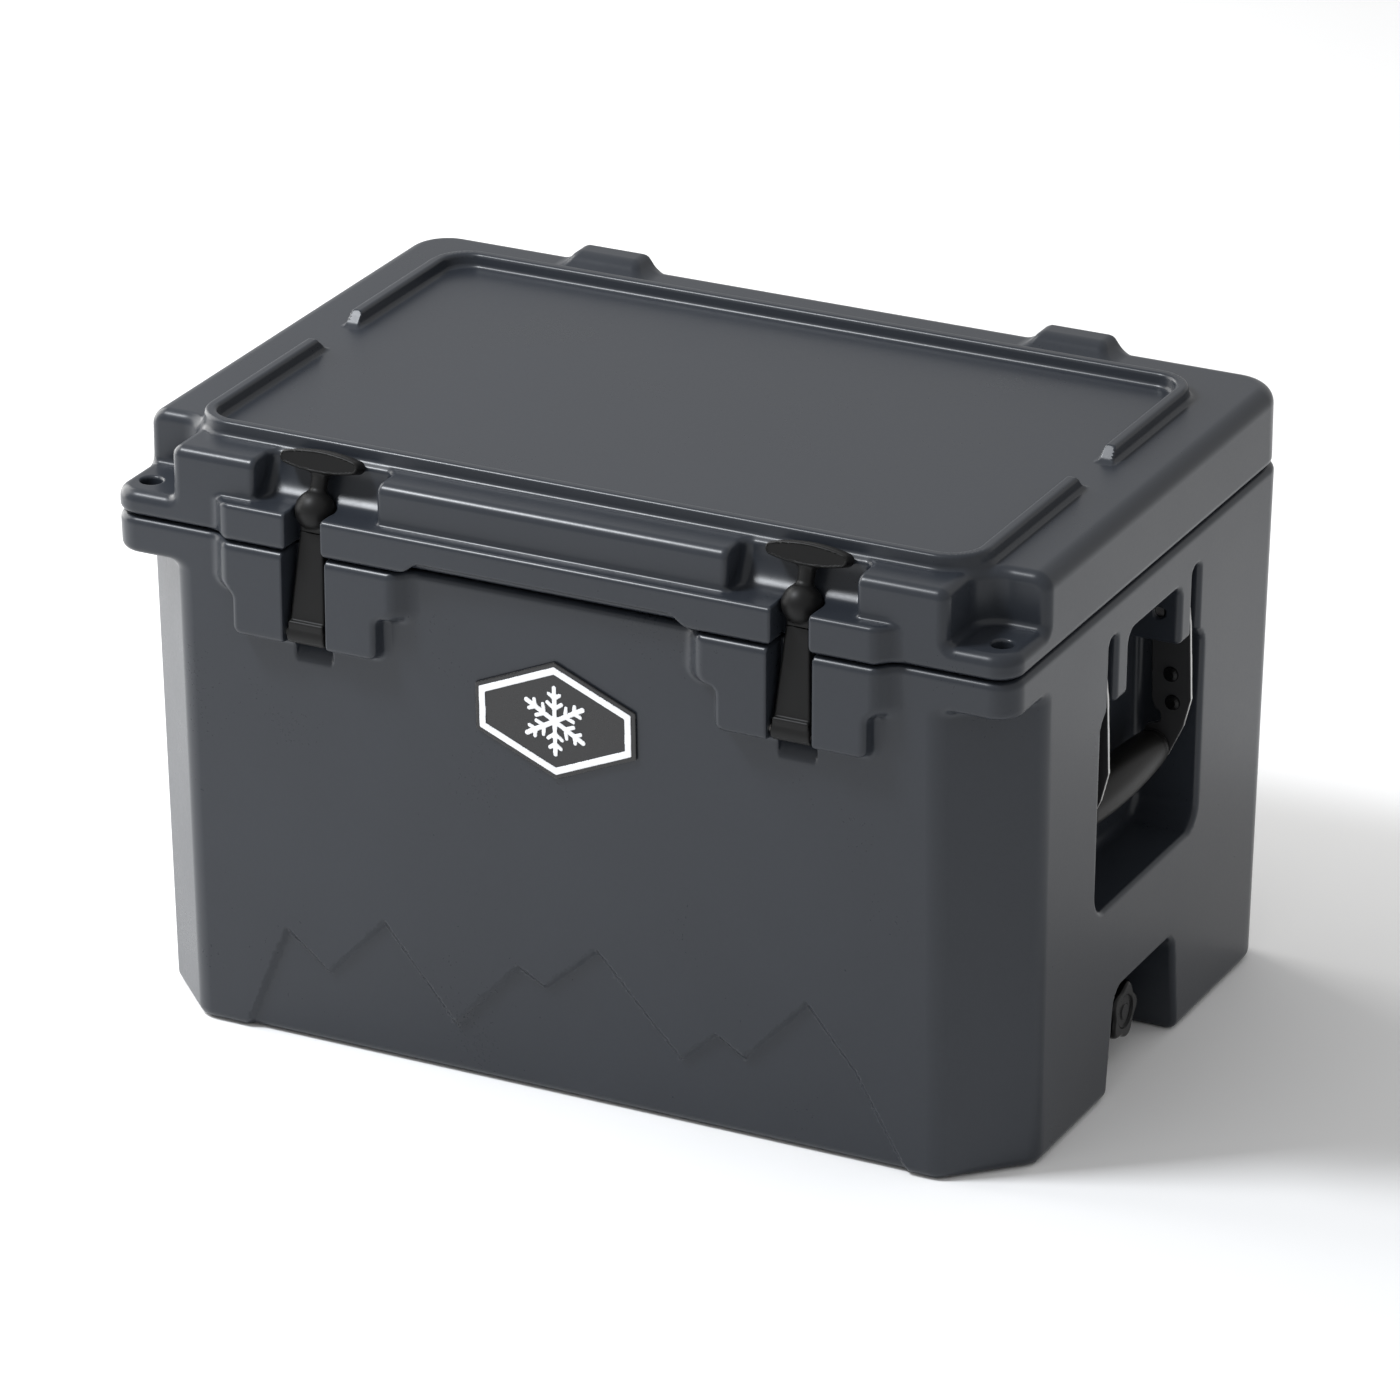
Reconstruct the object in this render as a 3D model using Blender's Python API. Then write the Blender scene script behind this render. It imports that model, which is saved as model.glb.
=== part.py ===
"""Hard cooler with rubber latches, fold-down side handles and a drain plug.

Metres, +Z up, +X to the side that holds the drain, front along -Y.
The origin is at the bottom centre of the bounding box.
Every sub-part is one named object; moving ones have their origin on their joint's axis.
"""
import math

import bmesh
import bpy
from mathutils import Matrix, Vector

# ---- driving dimensions -------------------------------------------------------------
HALF_WIDTH = 0.355
FRONT = -0.2345
BACK = 0.2465
PROUD = -0.2465
TUB_TOP = 0.394
LID_BOTTOM = 0.3955
LID_TOP = 0.455
HEIGHT = 0.466
GAP = 0.0003
SKIN = 0.005

BASE_HALF_WIDTH = 0.3505
BASE_FRONT = -0.2215
BASE_BACK = 0.2365
CHAMFER = 0.056
RIM_BOTTOM = 0.3655

CAVITY_HALF_WIDTH = 0.285
CAVITY_FRONT = -0.172
CAVITY_BACK = 0.178
CAVITY_FLOOR = 0.048
NECK_HALF_WIDTH = 0.318
NECK_FRONT = -0.200
NECK_BACK = 0.208
NECK_DEPTH = 0.008

LATCH_X = 0.1912
SIDES = {"left": -1, "right": 1}
POCKET_HALF = 0.0172
POCKET_BACK = -0.222
POCKET_FOOT = 0.310
BOSS_INNER = 0.121
BOSS_OUTER = 0.2565
BOSS_LOW_INNER = 0.1345
BOSS_LOW_OUTER = 0.2490
BOSS_STEP = 0.3585
BOSS_BOTTOM = 0.3255
BARREL_Y = -0.2375
BARREL_Z = 0.3315
BARREL_RADIUS = 0.0075
LATCH_PIN_RADIUS = 0.003
BALL_Y = -0.2265
BALL_Z = 0.4235
BALL_RADIUS = 0.0148
HEAD_Y = -0.2207
HEAD_Z = 0.4580
HEAD_TILT = math.radians(18.0)

LEDGE_TOP = 0.424
LEDGE_NOTCH_HALF = 0.0145
SCOOP_HALF = 0.046
SCOOP_BACK = -0.205
CORNER_FLOOR = 0.414
CORNER_X = 0.306
CORNER_Y = -0.178
TIE_HOLE = (0.335, -0.209)
TIE_HOLE_RADIUS = 0.0078

RIB_HALF_WIDTH = 0.309
RIB_FRONT = -0.200
RIB_BACK = 0.195
RIB_WIDTH = 0.014
RIB_GAP_Y = 0.0075
RIB_GAP_HALF = 0.0335
RIB_GAP_FOOT_HALF = 0.0235

HINGE_X = 0.1915
HINGE_Y = 0.2375
HINGE_Z = 0.3795
HINGE_ARM_HALF = 0.030
HINGE_ARM_RADIUS = 0.009
HINGE_PIN_RADIUS = 0.004
HINGE_PIN_HALF = 0.044
EAR_HALF = 0.026
EAR_FOOT_HALF = 0.037
EAR_FRONT = 0.205

HANDLE_Y = 0.0115
RECESS_X = 0.302
RECESS_HALF = 0.090
RECESS_LOW = 0.156
RECESS_STEP = 0.314
RECESS_TOP = 0.360
SLOT_INNER = 0.067
SLOT_OUTER = 0.080
SLOT_TOP = 0.366
FINGER_INNER = 0.046
PIVOT_X = 0.337
PIVOT_Z = 0.337
PIVOT_RADIUS = 0.004
PIVOT_PIN_CENTRE = 0.0710
PIVOT_PIN_HALF = 0.0210
PIVOT_BORE_HALF = 0.0262
ARM_OFFSET = 0.0735
ARM_HALF = 0.00175
GRIP_X = 0.3255
GRIP_Z = 0.222
GRIP_END_RADIUS = 0.0128
GRIP_MID_RADIUS = 0.0170
GRIP_HALF = 0.0700
GRIP_BORE = 0.0053
ROD_RADIUS = 0.005
RIVET_RADIUS = 0.006
RIVETS = ((0.0002, -0.0575), (0.0020, -0.0793))

DRAIN_Y = 0.0145
DRAIN_Z = 0.0400
NOTCH_X = 0.306
NOTCH_TOP = 0.082
NOTCH_TOP_HALF = 0.052
NOTCH_BASE_HALF = 0.062
DRAIN_BORE = 0.0125
PLUG_RADIUS = 0.023

BADGE_Y = 0.0035
BADGE_Z = 0.300
BADGE_HALF_WIDTH = 0.0635
BADGE_HALF_HEIGHT = 0.0455
BADGE_SHOULDER = 0.0180


# ---- helpers ------------------------------------------------------------------------
def clear_scene():
    """Remove everything that is in the file."""
    for item in list(bpy.data.objects):
        bpy.data.objects.remove(item, do_unlink=True)


def finish_material(name, colour, roughness, metallic=0.0):
    """A plain material of one colour."""
    material = bpy.data.materials.new(name)
    material.use_nodes = True
    shader = material.node_tree.nodes["Principled BSDF"]
    shader.inputs["Base Color"].default_value = (*colour, 1.0)
    shader.inputs["Roughness"].default_value = roughness
    shader.inputs["Metallic"].default_value = metallic
    return material


def from_bmesh(name, mesh_data, material=None, origin=(0.0, 0.0, 0.0), smooth=False):
    """Make an object whose mesh is given in world metres and whose origin is at origin."""
    bmesh.ops.translate(mesh_data, verts=mesh_data.verts, vec=-Vector(origin))
    bmesh.ops.recalc_face_normals(mesh_data, faces=mesh_data.faces)
    mesh = bpy.data.meshes.new(name)
    mesh_data.to_mesh(mesh)
    mesh_data.free()
    if smooth:
        mesh.shade_smooth()
        mesh.set_sharp_from_angle(angle=math.radians(35.0))
    item = bpy.data.objects.new(name, mesh)
    item.location = origin
    if material:
        mesh.materials.append(material)
    bpy.context.scene.collection.objects.link(item)
    return item


def loft_data(sections):
    """Closed solid through rings of equal length, each a list of (x, y, z)."""
    data = bmesh.new()
    rings = [[data.verts.new(point) for point in section] for section in sections]
    count = len(rings[0])
    for lower, upper in zip(rings, rings[1:]):
        for i in range(count):
            j = (i + 1) % count
            data.faces.new((lower[i], lower[j], upper[j], upper[i]))
    data.faces.new(rings[0])
    data.faces.new(rings[-1])
    return data


def flat_ring(outline, z):
    """An outline in plan at one height."""
    return [(x, y, z) for x, y in outline]


def corner_points(corner, radius, start, steps=5):
    """Points of a quarter round whose centre is corner, from angle start."""
    angles = [start + math.pi / 2 * k / steps for k in range(steps + 1)]
    return [(corner[0] + radius * math.cos(a), corner[1] + radius * math.sin(a)) for a in angles]


def rounded_plan(half_x, front, back, front_radius, back_radius, steps=5):
    """Rounded rectangle in plan, with its own radius at the front and at the back."""
    points = []
    points += corner_points((half_x - back_radius, back - back_radius), back_radius, 0.0, steps)
    points += corner_points((-half_x + back_radius, back - back_radius), back_radius, math.pi / 2, steps)
    points += corner_points((-half_x + front_radius, front + front_radius), front_radius, math.pi, steps)
    points += corner_points((half_x - front_radius, front + front_radius), front_radius, -math.pi / 2, steps)
    return points


def chamfered_plan(half_x, front, back, chamfer, back_radius):
    """Rectangle in plan with 45 degree front corners and rounded back corners."""
    points = corner_points((half_x - back_radius, back - back_radius), back_radius, 0.0, 3)
    points += corner_points((-half_x + back_radius, back - back_radius), back_radius, math.pi / 2, 3)
    points += [(-half_x, front + chamfer), (-half_x + chamfer, front)]
    points += [(half_x - chamfer, front), (half_x, front + chamfer)]
    return points


def box_data(low, high):
    """Closed box between two corners."""
    outline = [(low[0], low[1]), (high[0], low[1]), (high[0], high[1]), (low[0], high[1])]
    return loft_data([flat_ring(outline, low[2]), flat_ring(outline, high[2])])


def turned_data(profile, centre, axis, steps=24):
    """Solid of revolution; profile is a list of (distance along the axis, radius)."""
    turn = {"x": Matrix.Rotation(math.pi / 2, 3, "Y"), "y": Matrix.Rotation(-math.pi / 2, 3, "X")}
    rotation = turn.get(axis, Matrix.Identity(3))
    sections = []
    for along, radius in profile:
        ring = []
        for k in range(steps):
            angle = 2.0 * math.pi * k / steps
            point = Vector((radius * math.cos(angle), radius * math.sin(angle), along))
            ring.append(tuple(rotation @ point + Vector(centre)))
        sections.append(ring)
    return loft_data(sections)


def cylinder_data(centre, axis, radius, half_length, steps=24):
    """Plain cylinder about an axis through its centre."""
    return turned_data([(-half_length, radius), (half_length, radius)], centre, axis, steps)


def plate_data(outline, axis, low, high):
    """Extrude an outline along an axis; it holds the two other coordinates in order."""
    def place(point, level):
        if axis == "y":
            return (point[0], level, point[1])
        return (level, point[0], point[1])

    return loft_data([[place(p, low) for p in outline], [place(p, high) for p in outline]])


def tool(name, data):
    """A hidden cutter or joiner."""
    item = from_bmesh(name, data)
    item.hide_render = True
    item.display_type = "WIRE"
    return item


def combine(target, other, operation):
    """Add a live Boolean."""
    modifier = target.modifiers.new(other.name, "BOOLEAN")
    modifier.operation = operation
    modifier.solver = "EXACT"
    modifier.object = other


def cut(target, name, data):
    """Cut a solid away."""
    combine(target, tool(name, data), "DIFFERENCE")


def join(target, name, data):
    """Join a solid on."""
    combine(target, tool(name, data), "UNION")


def arc(centre, radius, start, end, steps):
    """Points on an arc, angles in degrees."""
    angles = [math.radians(start + (end - start) * k / steps) for k in range(steps + 1)]
    return [(centre[0] + radius * math.cos(a), centre[1] + radius * math.sin(a)) for a in angles]


# ---- tub ----------------------------------------------------------------------------
def face_y(z):
    """Where the tapered front face lies at one height."""
    share = (z - 0.006) / (TUB_TOP - 0.004 - 0.006)
    return BASE_FRONT + (FRONT - BASE_FRONT) * share


def side_recess_cutters(sign, label):
    """The three-part opening in a side wall: low pocket, middle opening and two arm slots."""
    near, far = sorted((sign * RECESS_X, sign * (HALF_WIDTH + 0.01)))
    spans = {
        "low": (-RECESS_HALF, RECESS_HALF, RECESS_LOW, RECESS_STEP),
        "middle": (-FINGER_INNER, FINGER_INNER, RECESS_STEP - 0.001, RECESS_TOP),
        "front_slot": (-SLOT_OUTER, -SLOT_INNER, RECESS_STEP - 0.001, SLOT_TOP),
        "back_slot": (SLOT_INNER, SLOT_OUTER, RECESS_STEP - 0.001, SLOT_TOP),
    }
    for part, (y0, y1, z0, z1) in spans.items():
        yield f"{label}_{part}", box_data((near, HANDLE_Y + y0, z0), (far, HANDLE_Y + y1, z1))


def drain_notch_data():
    """The notch under the drain: wider at the floor than at its top."""
    outline = [
        (DRAIN_Y - NOTCH_BASE_HALF, -0.01),
        (DRAIN_Y + NOTCH_BASE_HALF, -0.01),
        (DRAIN_Y + NOTCH_TOP_HALF, NOTCH_TOP),
        (DRAIN_Y - NOTCH_TOP_HALF, NOTCH_TOP),
    ]
    return plate_data(outline, "x", NOTCH_X, HALF_WIDTH + 0.01)


def foam_space_data(shrink):
    """The space between the tub's two skins, drawn in by shrink."""
    base_plan = chamfered_plan(0.3440 - shrink, -0.2150 + shrink, 0.2300 - shrink, 0.053, 0.020)
    top_plan = chamfered_plan(0.3485 - shrink, -0.2280 + shrink, 0.2400 - shrink, 0.053, 0.020)
    low, high = 0.012 + shrink, TUB_TOP - NECK_DEPTH - shrink
    return loft_data([flat_ring(base_plan, low), flat_ring(top_plan, high)])


def foam_pods(grow):
    """Solid plastic left round the recesses, as boxes that the foam keeps clear of."""
    grow += SKIN
    for label, sign in SIDES.items():
        near, far = sorted((sign * (RECESS_X - grow), sign * 0.36))
        yield f"pod_recess_{label}", box_data(
            (near, HANDLE_Y - RECESS_HALF - grow, RECESS_LOW - grow),
            (far, HANDLE_Y + RECESS_HALF + grow, SLOT_TOP + grow),
        )
        x0 = sign * LATCH_X
        half = POCKET_HALF + grow
        latch_low = (x0 - half, -0.26, POCKET_FOOT - grow)
        yield f"pod_latch_{label}", box_data(latch_low, (x0 + half, POCKET_BACK + grow, TUB_TOP + 0.01))
        x0 = sign * HINGE_X
        half = HINGE_PIN_HALF + grow
        clear = HINGE_ARM_RADIUS + 0.0015 + grow
        hinge_low = (x0 - half, HINGE_Y - clear, HINGE_Z - clear)
        yield f"pod_hinge_{label}", box_data(hinge_low, (x0 + half, BACK + 0.01, TUB_TOP + 0.01))
    yield "pod_drain", box_data(
        (NOTCH_X - grow, DRAIN_Y - NOTCH_BASE_HALF - grow, 0.0),
        (0.36, DRAIN_Y + NOTCH_BASE_HALF + grow, NOTCH_TOP + grow),
    )


def liner_outer_data(grow):
    """Outside of the inner skin below its flange."""
    grow += SKIN
    base = rounded_plan(
        CAVITY_HALF_WIDTH - 0.010 + grow, CAVITY_FRONT + 0.010 - grow, CAVITY_BACK - 0.010 + grow, 0.025, 0.025, 4
    )
    top = rounded_plan(
        CAVITY_HALF_WIDTH + grow, CAVITY_FRONT - grow, CAVITY_BACK + grow, 0.030, 0.030, 4
    )
    return loft_data([flat_ring(base, CAVITY_FLOOR - grow), flat_ring(top, TUB_TOP - NECK_DEPTH + 0.001)])


def sump_data(grow):
    """Drain sump below the cavity floor, next to the drain."""
    return box_data(
        (0.232 - grow, DRAIN_Y - 0.020 - grow, 0.0275 - grow),
        (0.268 + grow, DRAIN_Y + 0.020 + grow, CAVITY_FLOOR + 0.001),
    )


def boss_data(sign, inner, outer, flank, low, high):
    """One stepped block on the tub's front, across the latch pocket."""
    outline = [
        (sign * (inner - flank), PROUD + 0.020),
        (sign * inner, PROUD),
        (sign * outer, PROUD),
        (sign * (outer + flank), PROUD + 0.020),
    ]
    return loft_data([flat_ring(outline, low), flat_ring(outline, high)])


def hinge_pocket_data(sign):
    """Pocket in the tub's back for one hinge arm of the lid."""
    reach = HINGE_ARM_HALF + 0.001
    x0, x1 = sorted((sign * (HINGE_X - reach), sign * (HINGE_X + reach)))
    clear = HINGE_ARM_RADIUS + 0.0015
    return box_data((x0, HINGE_Y - clear, HINGE_Z - clear), (x1, BACK + 0.02, TUB_TOP + 0.01))


def latch_pocket_data(x0):
    """Slot for one latch strap, running out below in a slope on the front face."""
    outline = [
        (-0.26, POCKET_FOOT),
        (face_y(POCKET_FOOT) + 0.0005, POCKET_FOOT),
        (POCKET_BACK, POCKET_FOOT + 0.012),
        (POCKET_BACK, TUB_TOP + 0.01),
        (-0.26, TUB_TOP + 0.01),
    ]
    return plate_data(outline, "x", x0 - POCKET_HALF, x0 + POCKET_HALF)


def make_tub_shell(material):
    """Outer skin of the tub, with bosses, recesses and bores."""
    base = chamfered_plan(BASE_HALF_WIDTH, BASE_FRONT, BASE_BACK, CHAMFER, 0.024)
    top = chamfered_plan(HALF_WIDTH, FRONT, BACK, CHAMFER, 0.024)
    low = chamfered_plan(BASE_HALF_WIDTH - 0.006, BASE_FRONT + 0.006, BASE_BACK - 0.006, CHAMFER, 0.020)
    sections = [flat_ring(low, 0.0), flat_ring(base, 0.006), flat_ring(top, TUB_TOP - 0.004)]
    shell = from_bmesh("tub_shell", loft_data(sections), material)
    rim = rounded_plan(HALF_WIDTH, FRONT, BACK, 0.020, 0.032)
    rim_top = rounded_plan(HALF_WIDTH - 0.004, FRONT + 0.004, BACK - 0.004, 0.018, 0.028)
    rim_rings = [flat_ring(rim, RIM_BOTTOM), flat_ring(rim, TUB_TOP - 0.004), flat_ring(rim_top, TUB_TOP)]
    join(shell, "rim_block", loft_data(rim_rings))
    for label, sign in SIDES.items():
        upper = boss_data(sign, BOSS_INNER, BOSS_OUTER, 0.020, BOSS_STEP, TUB_TOP - 0.002)
        join(shell, f"boss_upper_{label}", upper)
        lower = boss_data(sign, BOSS_LOW_INNER, BOSS_LOW_OUTER, 0.0, BOSS_BOTTOM, BOSS_STEP + 0.001)
        join(shell, f"boss_lower_{label}", lower)
    cut(shell, "foam_space", foam_space_data(0.0))
    for label, data in foam_pods(0.0):
        pod = tool(f"shell_{label}", data)
        limit = tool(f"limit_{label}", foam_space_data(-0.0005))
        combine(pod, limit, "INTERSECT")
        combine(shell, pod, "UNION")
    neck = rounded_plan(NECK_HALF_WIDTH, NECK_FRONT, NECK_BACK, 0.030, 0.030, 4)
    cut(shell, "neck", loft_data([flat_ring(neck, TUB_TOP - NECK_DEPTH - 0.001), flat_ring(neck, TUB_TOP + 0.01)]))
    for label, sign in SIDES.items():
        x0 = sign * LATCH_X
        cut(shell, f"pocket_{label}", latch_pocket_data(x0))
        bore = cylinder_data((x0, BARREL_Y, BARREL_Z), "x", LATCH_PIN_RADIUS + GAP, 0.0275, 16)
        cut(shell, f"latch_bore_{label}", bore)
        cut(shell, f"hinge_pocket_{label}", hinge_pocket_data(sign))
        hinge_bore = cylinder_data(
            (sign * HINGE_X, HINGE_Y, HINGE_Z), "x", HINGE_PIN_RADIUS + GAP, HINGE_PIN_HALF + GAP, 16
        )
        cut(shell, f"hinge_bore_{label}", hinge_bore)
    for label, sign in SIDES.items():
        for name, data in side_recess_cutters(sign, f"recess_{label}"):
            cut(shell, name, data)
        for spot, side in (("front", -1), ("back", 1)):
            centre = (sign * PIVOT_X, HANDLE_Y + side * (PIVOT_PIN_CENTRE - 0.0045), PIVOT_Z)
            bore = cylinder_data(centre, "y", PIVOT_RADIUS + GAP, PIVOT_BORE_HALF, 16)
            cut(shell, f"pivot_bore_{label}_{spot}", bore)
        tab_hole = cylinder_data((sign * TIE_HOLE[0], TIE_HOLE[1], 0.38), "z", TIE_HOLE_RADIUS, 0.016)
        cut(shell, f"tab_hole_{label}", tab_hole)
    cut(shell, "drain_notch", drain_notch_data())
    drain_bore = cylinder_data((0.29, DRAIN_Y, DRAIN_Z), "x", DRAIN_BORE + GAP, 0.03)
    cut(shell, "drain_bore", drain_bore)
    return shell


def make_tub_liner(material):
    """Inner skin: tray with a flange that closes the top of the foam space."""
    liner = from_bmesh("tub_liner", liner_outer_data(0.0), material)
    half, front, back = NECK_HALF_WIDTH - GAP, NECK_FRONT + GAP, NECK_BACK - GAP
    flange = rounded_plan(half, front, back, 0.030, 0.030, 4)
    low = TUB_TOP - NECK_DEPTH
    join(liner, "liner_flange", loft_data([flat_ring(flange, low), flat_ring(flange, TUB_TOP)]))
    join(liner, "liner_sump", sump_data(SKIN))
    base = rounded_plan(CAVITY_HALF_WIDTH - 0.010, CAVITY_FRONT + 0.010, CAVITY_BACK - 0.010, 0.020, 0.020, 4)
    top = rounded_plan(CAVITY_HALF_WIDTH, CAVITY_FRONT, CAVITY_BACK, 0.025, 0.025, 4)
    cut(liner, "cavity", loft_data([flat_ring(base, CAVITY_FLOOR), flat_ring(top, TUB_TOP + 0.001)]))
    cut(liner, "sump", sump_data(0.0))
    cut(liner, "liner_drain_seat", cylinder_data((0.2884, DRAIN_Y, DRAIN_Z), "x", DRAIN_BORE + GAP, 0.015))
    cut(liner, "liner_drain_hole", cylinder_data((0.270, DRAIN_Y, DRAIN_Z), "x", DRAIN_BORE - 0.002 + GAP, 0.008))
    return liner


def make_tub_foam(material):
    """Insulating foam between the two skins."""
    foam = from_bmesh("tub_foam", foam_space_data(GAP), material)
    for label, data in foam_pods(GAP):
        cut(foam, f"foam_{label}", data)
    cut(foam, "foam_liner", liner_outer_data(GAP))
    cut(foam, "foam_sump", sump_data(SKIN + GAP))
    cut(foam, "foam_drain", cylinder_data((0.29, DRAIN_Y, DRAIN_Z), "x", DRAIN_BORE + GAP, 0.03))
    return foam


# ---- lid ----------------------------------------------------------------------------
def ear_data(sign):
    """Raised hinge ear on the lid's back edge, sloping down at its front and ends."""
    foot = [
        (sign * (HINGE_X - EAR_FOOT_HALF), BACK),
        (sign * (HINGE_X + EAR_FOOT_HALF), BACK),
        (sign * (HINGE_X + EAR_FOOT_HALF), EAR_FRONT - 0.004),
        (sign * (HINGE_X - EAR_FOOT_HALF), EAR_FRONT - 0.004),
    ]
    crown = [
        (sign * (HINGE_X - EAR_HALF), BACK - 0.003),
        (sign * (HINGE_X + EAR_HALF), BACK - 0.003),
        (sign * (HINGE_X + EAR_HALF), EAR_FRONT + 0.006),
        (sign * (HINGE_X - EAR_HALF), EAR_FRONT + 0.006),
    ]
    return loft_data([flat_ring(foot, LID_TOP - 0.012), flat_ring(foot, LID_TOP - 0.004), flat_ring(crown, HEIGHT)])


def hinge_arm_data(sign):
    """Arm that hangs from the lid's back edge and takes the hinge pin."""
    outline = arc((HINGE_Y, HINGE_Z), HINGE_ARM_RADIUS, 180.0, 360.0, 10)
    outline += [(HINGE_Y + HINGE_ARM_RADIUS, LID_BOTTOM + 0.004), (HINGE_Y - HINGE_ARM_RADIUS, LID_BOTTOM + 0.004)]
    x0, x1 = sorted((sign * (HINGE_X - HINGE_ARM_HALF), sign * (HINGE_X + HINGE_ARM_HALF)))
    return plate_data(outline, "x", x0, x1)


def rib_data():
    """Rounded frame of ribs on the lid's top, as an outer block."""
    foot = rounded_plan(RIB_HALF_WIDTH + 0.003, RIB_FRONT - 0.003, RIB_BACK + 0.003, 0.034, 0.034)
    crown = rounded_plan(RIB_HALF_WIDTH - 0.001, RIB_FRONT + 0.001, RIB_BACK - 0.001, 0.030, 0.030)
    return loft_data([flat_ring(foot, LID_TOP - 0.002), flat_ring(foot, LID_TOP), flat_ring(crown, HEIGHT)])


def lid_space_data(shrink):
    """Foam space of the lid, open at the bottom."""
    plan = rounded_plan(0.334 - shrink, -0.196 + shrink, 0.218 - shrink, 0.060, 0.020, 6)
    return loft_data([flat_ring(plan, LID_BOTTOM - 0.01), flat_ring(plan, LID_TOP - 0.006 - shrink)])


def make_lid_shell(material):
    """Outer skin of the lid: slab, front ledge, rib frame, ears and hinge arms."""
    plan = rounded_plan(HALF_WIDTH, FRONT, BACK, 0.020, 0.034)
    mid = rounded_plan(HALF_WIDTH - 0.004, FRONT + 0.004, BACK - 0.004, 0.018, 0.032)
    top = rounded_plan(HALF_WIDTH - 0.012, FRONT + 0.012, BACK - 0.012, 0.012, 0.028)
    bottom = rounded_plan(HALF_WIDTH - 0.004, FRONT + 0.004, BACK - 0.004, 0.018, 0.030)
    sections = [
        flat_ring(bottom, LID_BOTTOM),
        flat_ring(plan, LID_BOTTOM + 0.004),
        flat_ring(plan, LID_TOP - 0.012),
        flat_ring(mid, LID_TOP - 0.004),
        flat_ring(top, LID_TOP),
    ]
    shell = from_bmesh("lid_shell", loft_data(sections), material)
    ledge = [
        (-BOSS_OUTER - 0.020, PROUD + 0.020),
        (-BOSS_OUTER, PROUD),
        (BOSS_OUTER, PROUD),
        (BOSS_OUTER + 0.020, PROUD + 0.020),
    ]
    join(shell, "ledge", loft_data([flat_ring(ledge, LID_BOTTOM + 0.0005), flat_ring(ledge, LEDGE_TOP)]))
    join(shell, "rib_frame", rib_data())
    inner = rounded_plan(
        RIB_HALF_WIDTH - RIB_WIDTH, RIB_FRONT + RIB_WIDTH, RIB_BACK - RIB_WIDTH, 0.020, 0.020
    )
    cut(shell, "rib_inside", loft_data([flat_ring(inner, LID_TOP), flat_ring(inner, HEIGHT + 0.01)]))
    gap_outline = [
        (RIB_GAP_Y - RIB_GAP_FOOT_HALF, LID_TOP + GAP),
        (RIB_GAP_Y + RIB_GAP_FOOT_HALF, LID_TOP + GAP),
        (RIB_GAP_Y + RIB_GAP_HALF, HEIGHT + 0.001),
        (RIB_GAP_Y - RIB_GAP_HALF, HEIGHT + 0.001),
    ]
    cut(shell, "rib_gap", plate_data(gap_outline, "x", -HALF_WIDTH, HALF_WIDTH))
    for label, sign in SIDES.items():
        join(shell, f"ear_{label}", ear_data(sign))
        join(shell, f"hinge_arm_{label}", hinge_arm_data(sign))
    cut(shell, "lid_space", lid_space_data(0.0))
    for label, sign in SIDES.items():
        corner = [(sign * CORNER_X, FRONT - 0.02), (sign * 0.37, FRONT - 0.02), (sign * 0.37, CORNER_Y)]
        rounding = arc((CORNER_X + 0.022, CORNER_Y - 0.022), 0.022, 90.0, 180.0, 5)
        corner += [(sign * x, y) for x, y in rounding]
        cut(shell, f"corner_{label}", loft_data([flat_ring(corner, CORNER_FLOOR), flat_ring(corner, HEIGHT)]))
        hole = cylinder_data((sign * TIE_HOLE[0], TIE_HOLE[1], 0.40), "z", TIE_HOLE_RADIUS, 0.03)
        cut(shell, f"tie_hole_{label}", hole)
        x0 = sign * LATCH_X
        scoop = box_data((x0 - SCOOP_HALF, FRONT - 0.002, LEDGE_TOP), (x0 + SCOOP_HALF, SCOOP_BACK, HEIGHT))
        cut(shell, f"scoop_{label}", scoop)
        notch = box_data((x0 - LEDGE_NOTCH_HALF, -0.26, 0.38), (x0 + LEDGE_NOTCH_HALF, BALL_Y, 0.43))
        cut(shell, f"ledge_notch_{label}", notch)
        seat = cylinder_data((x0, BALL_Y, BALL_Z), "z", BALL_RADIUS + 0.0008, 0.030)
        cut(shell, f"ball_seat_{label}", seat)
        bore = cylinder_data((sign * HINGE_X, HINGE_Y, HINGE_Z), "x", HINGE_PIN_RADIUS + GAP, 0.04, 16)
        cut(shell, f"lid_hinge_bore_{label}", bore)
    lift = [(-0.104, LID_BOTTOM + 0.0095), (-0.1135, 0.39), (0.1135, 0.39), (0.104, LID_BOTTOM + 0.0095)]
    cut(shell, "finger_lift", plate_data(lift, "y", -0.26, FRONT + 0.004))
    return shell


def gasket_plan(offset):
    """Centre line of the lid gasket, moved outwards by offset."""
    return rounded_plan(0.300 + offset, -0.184 - offset, 0.192 + offset, 0.030, 0.030, 4)


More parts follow.
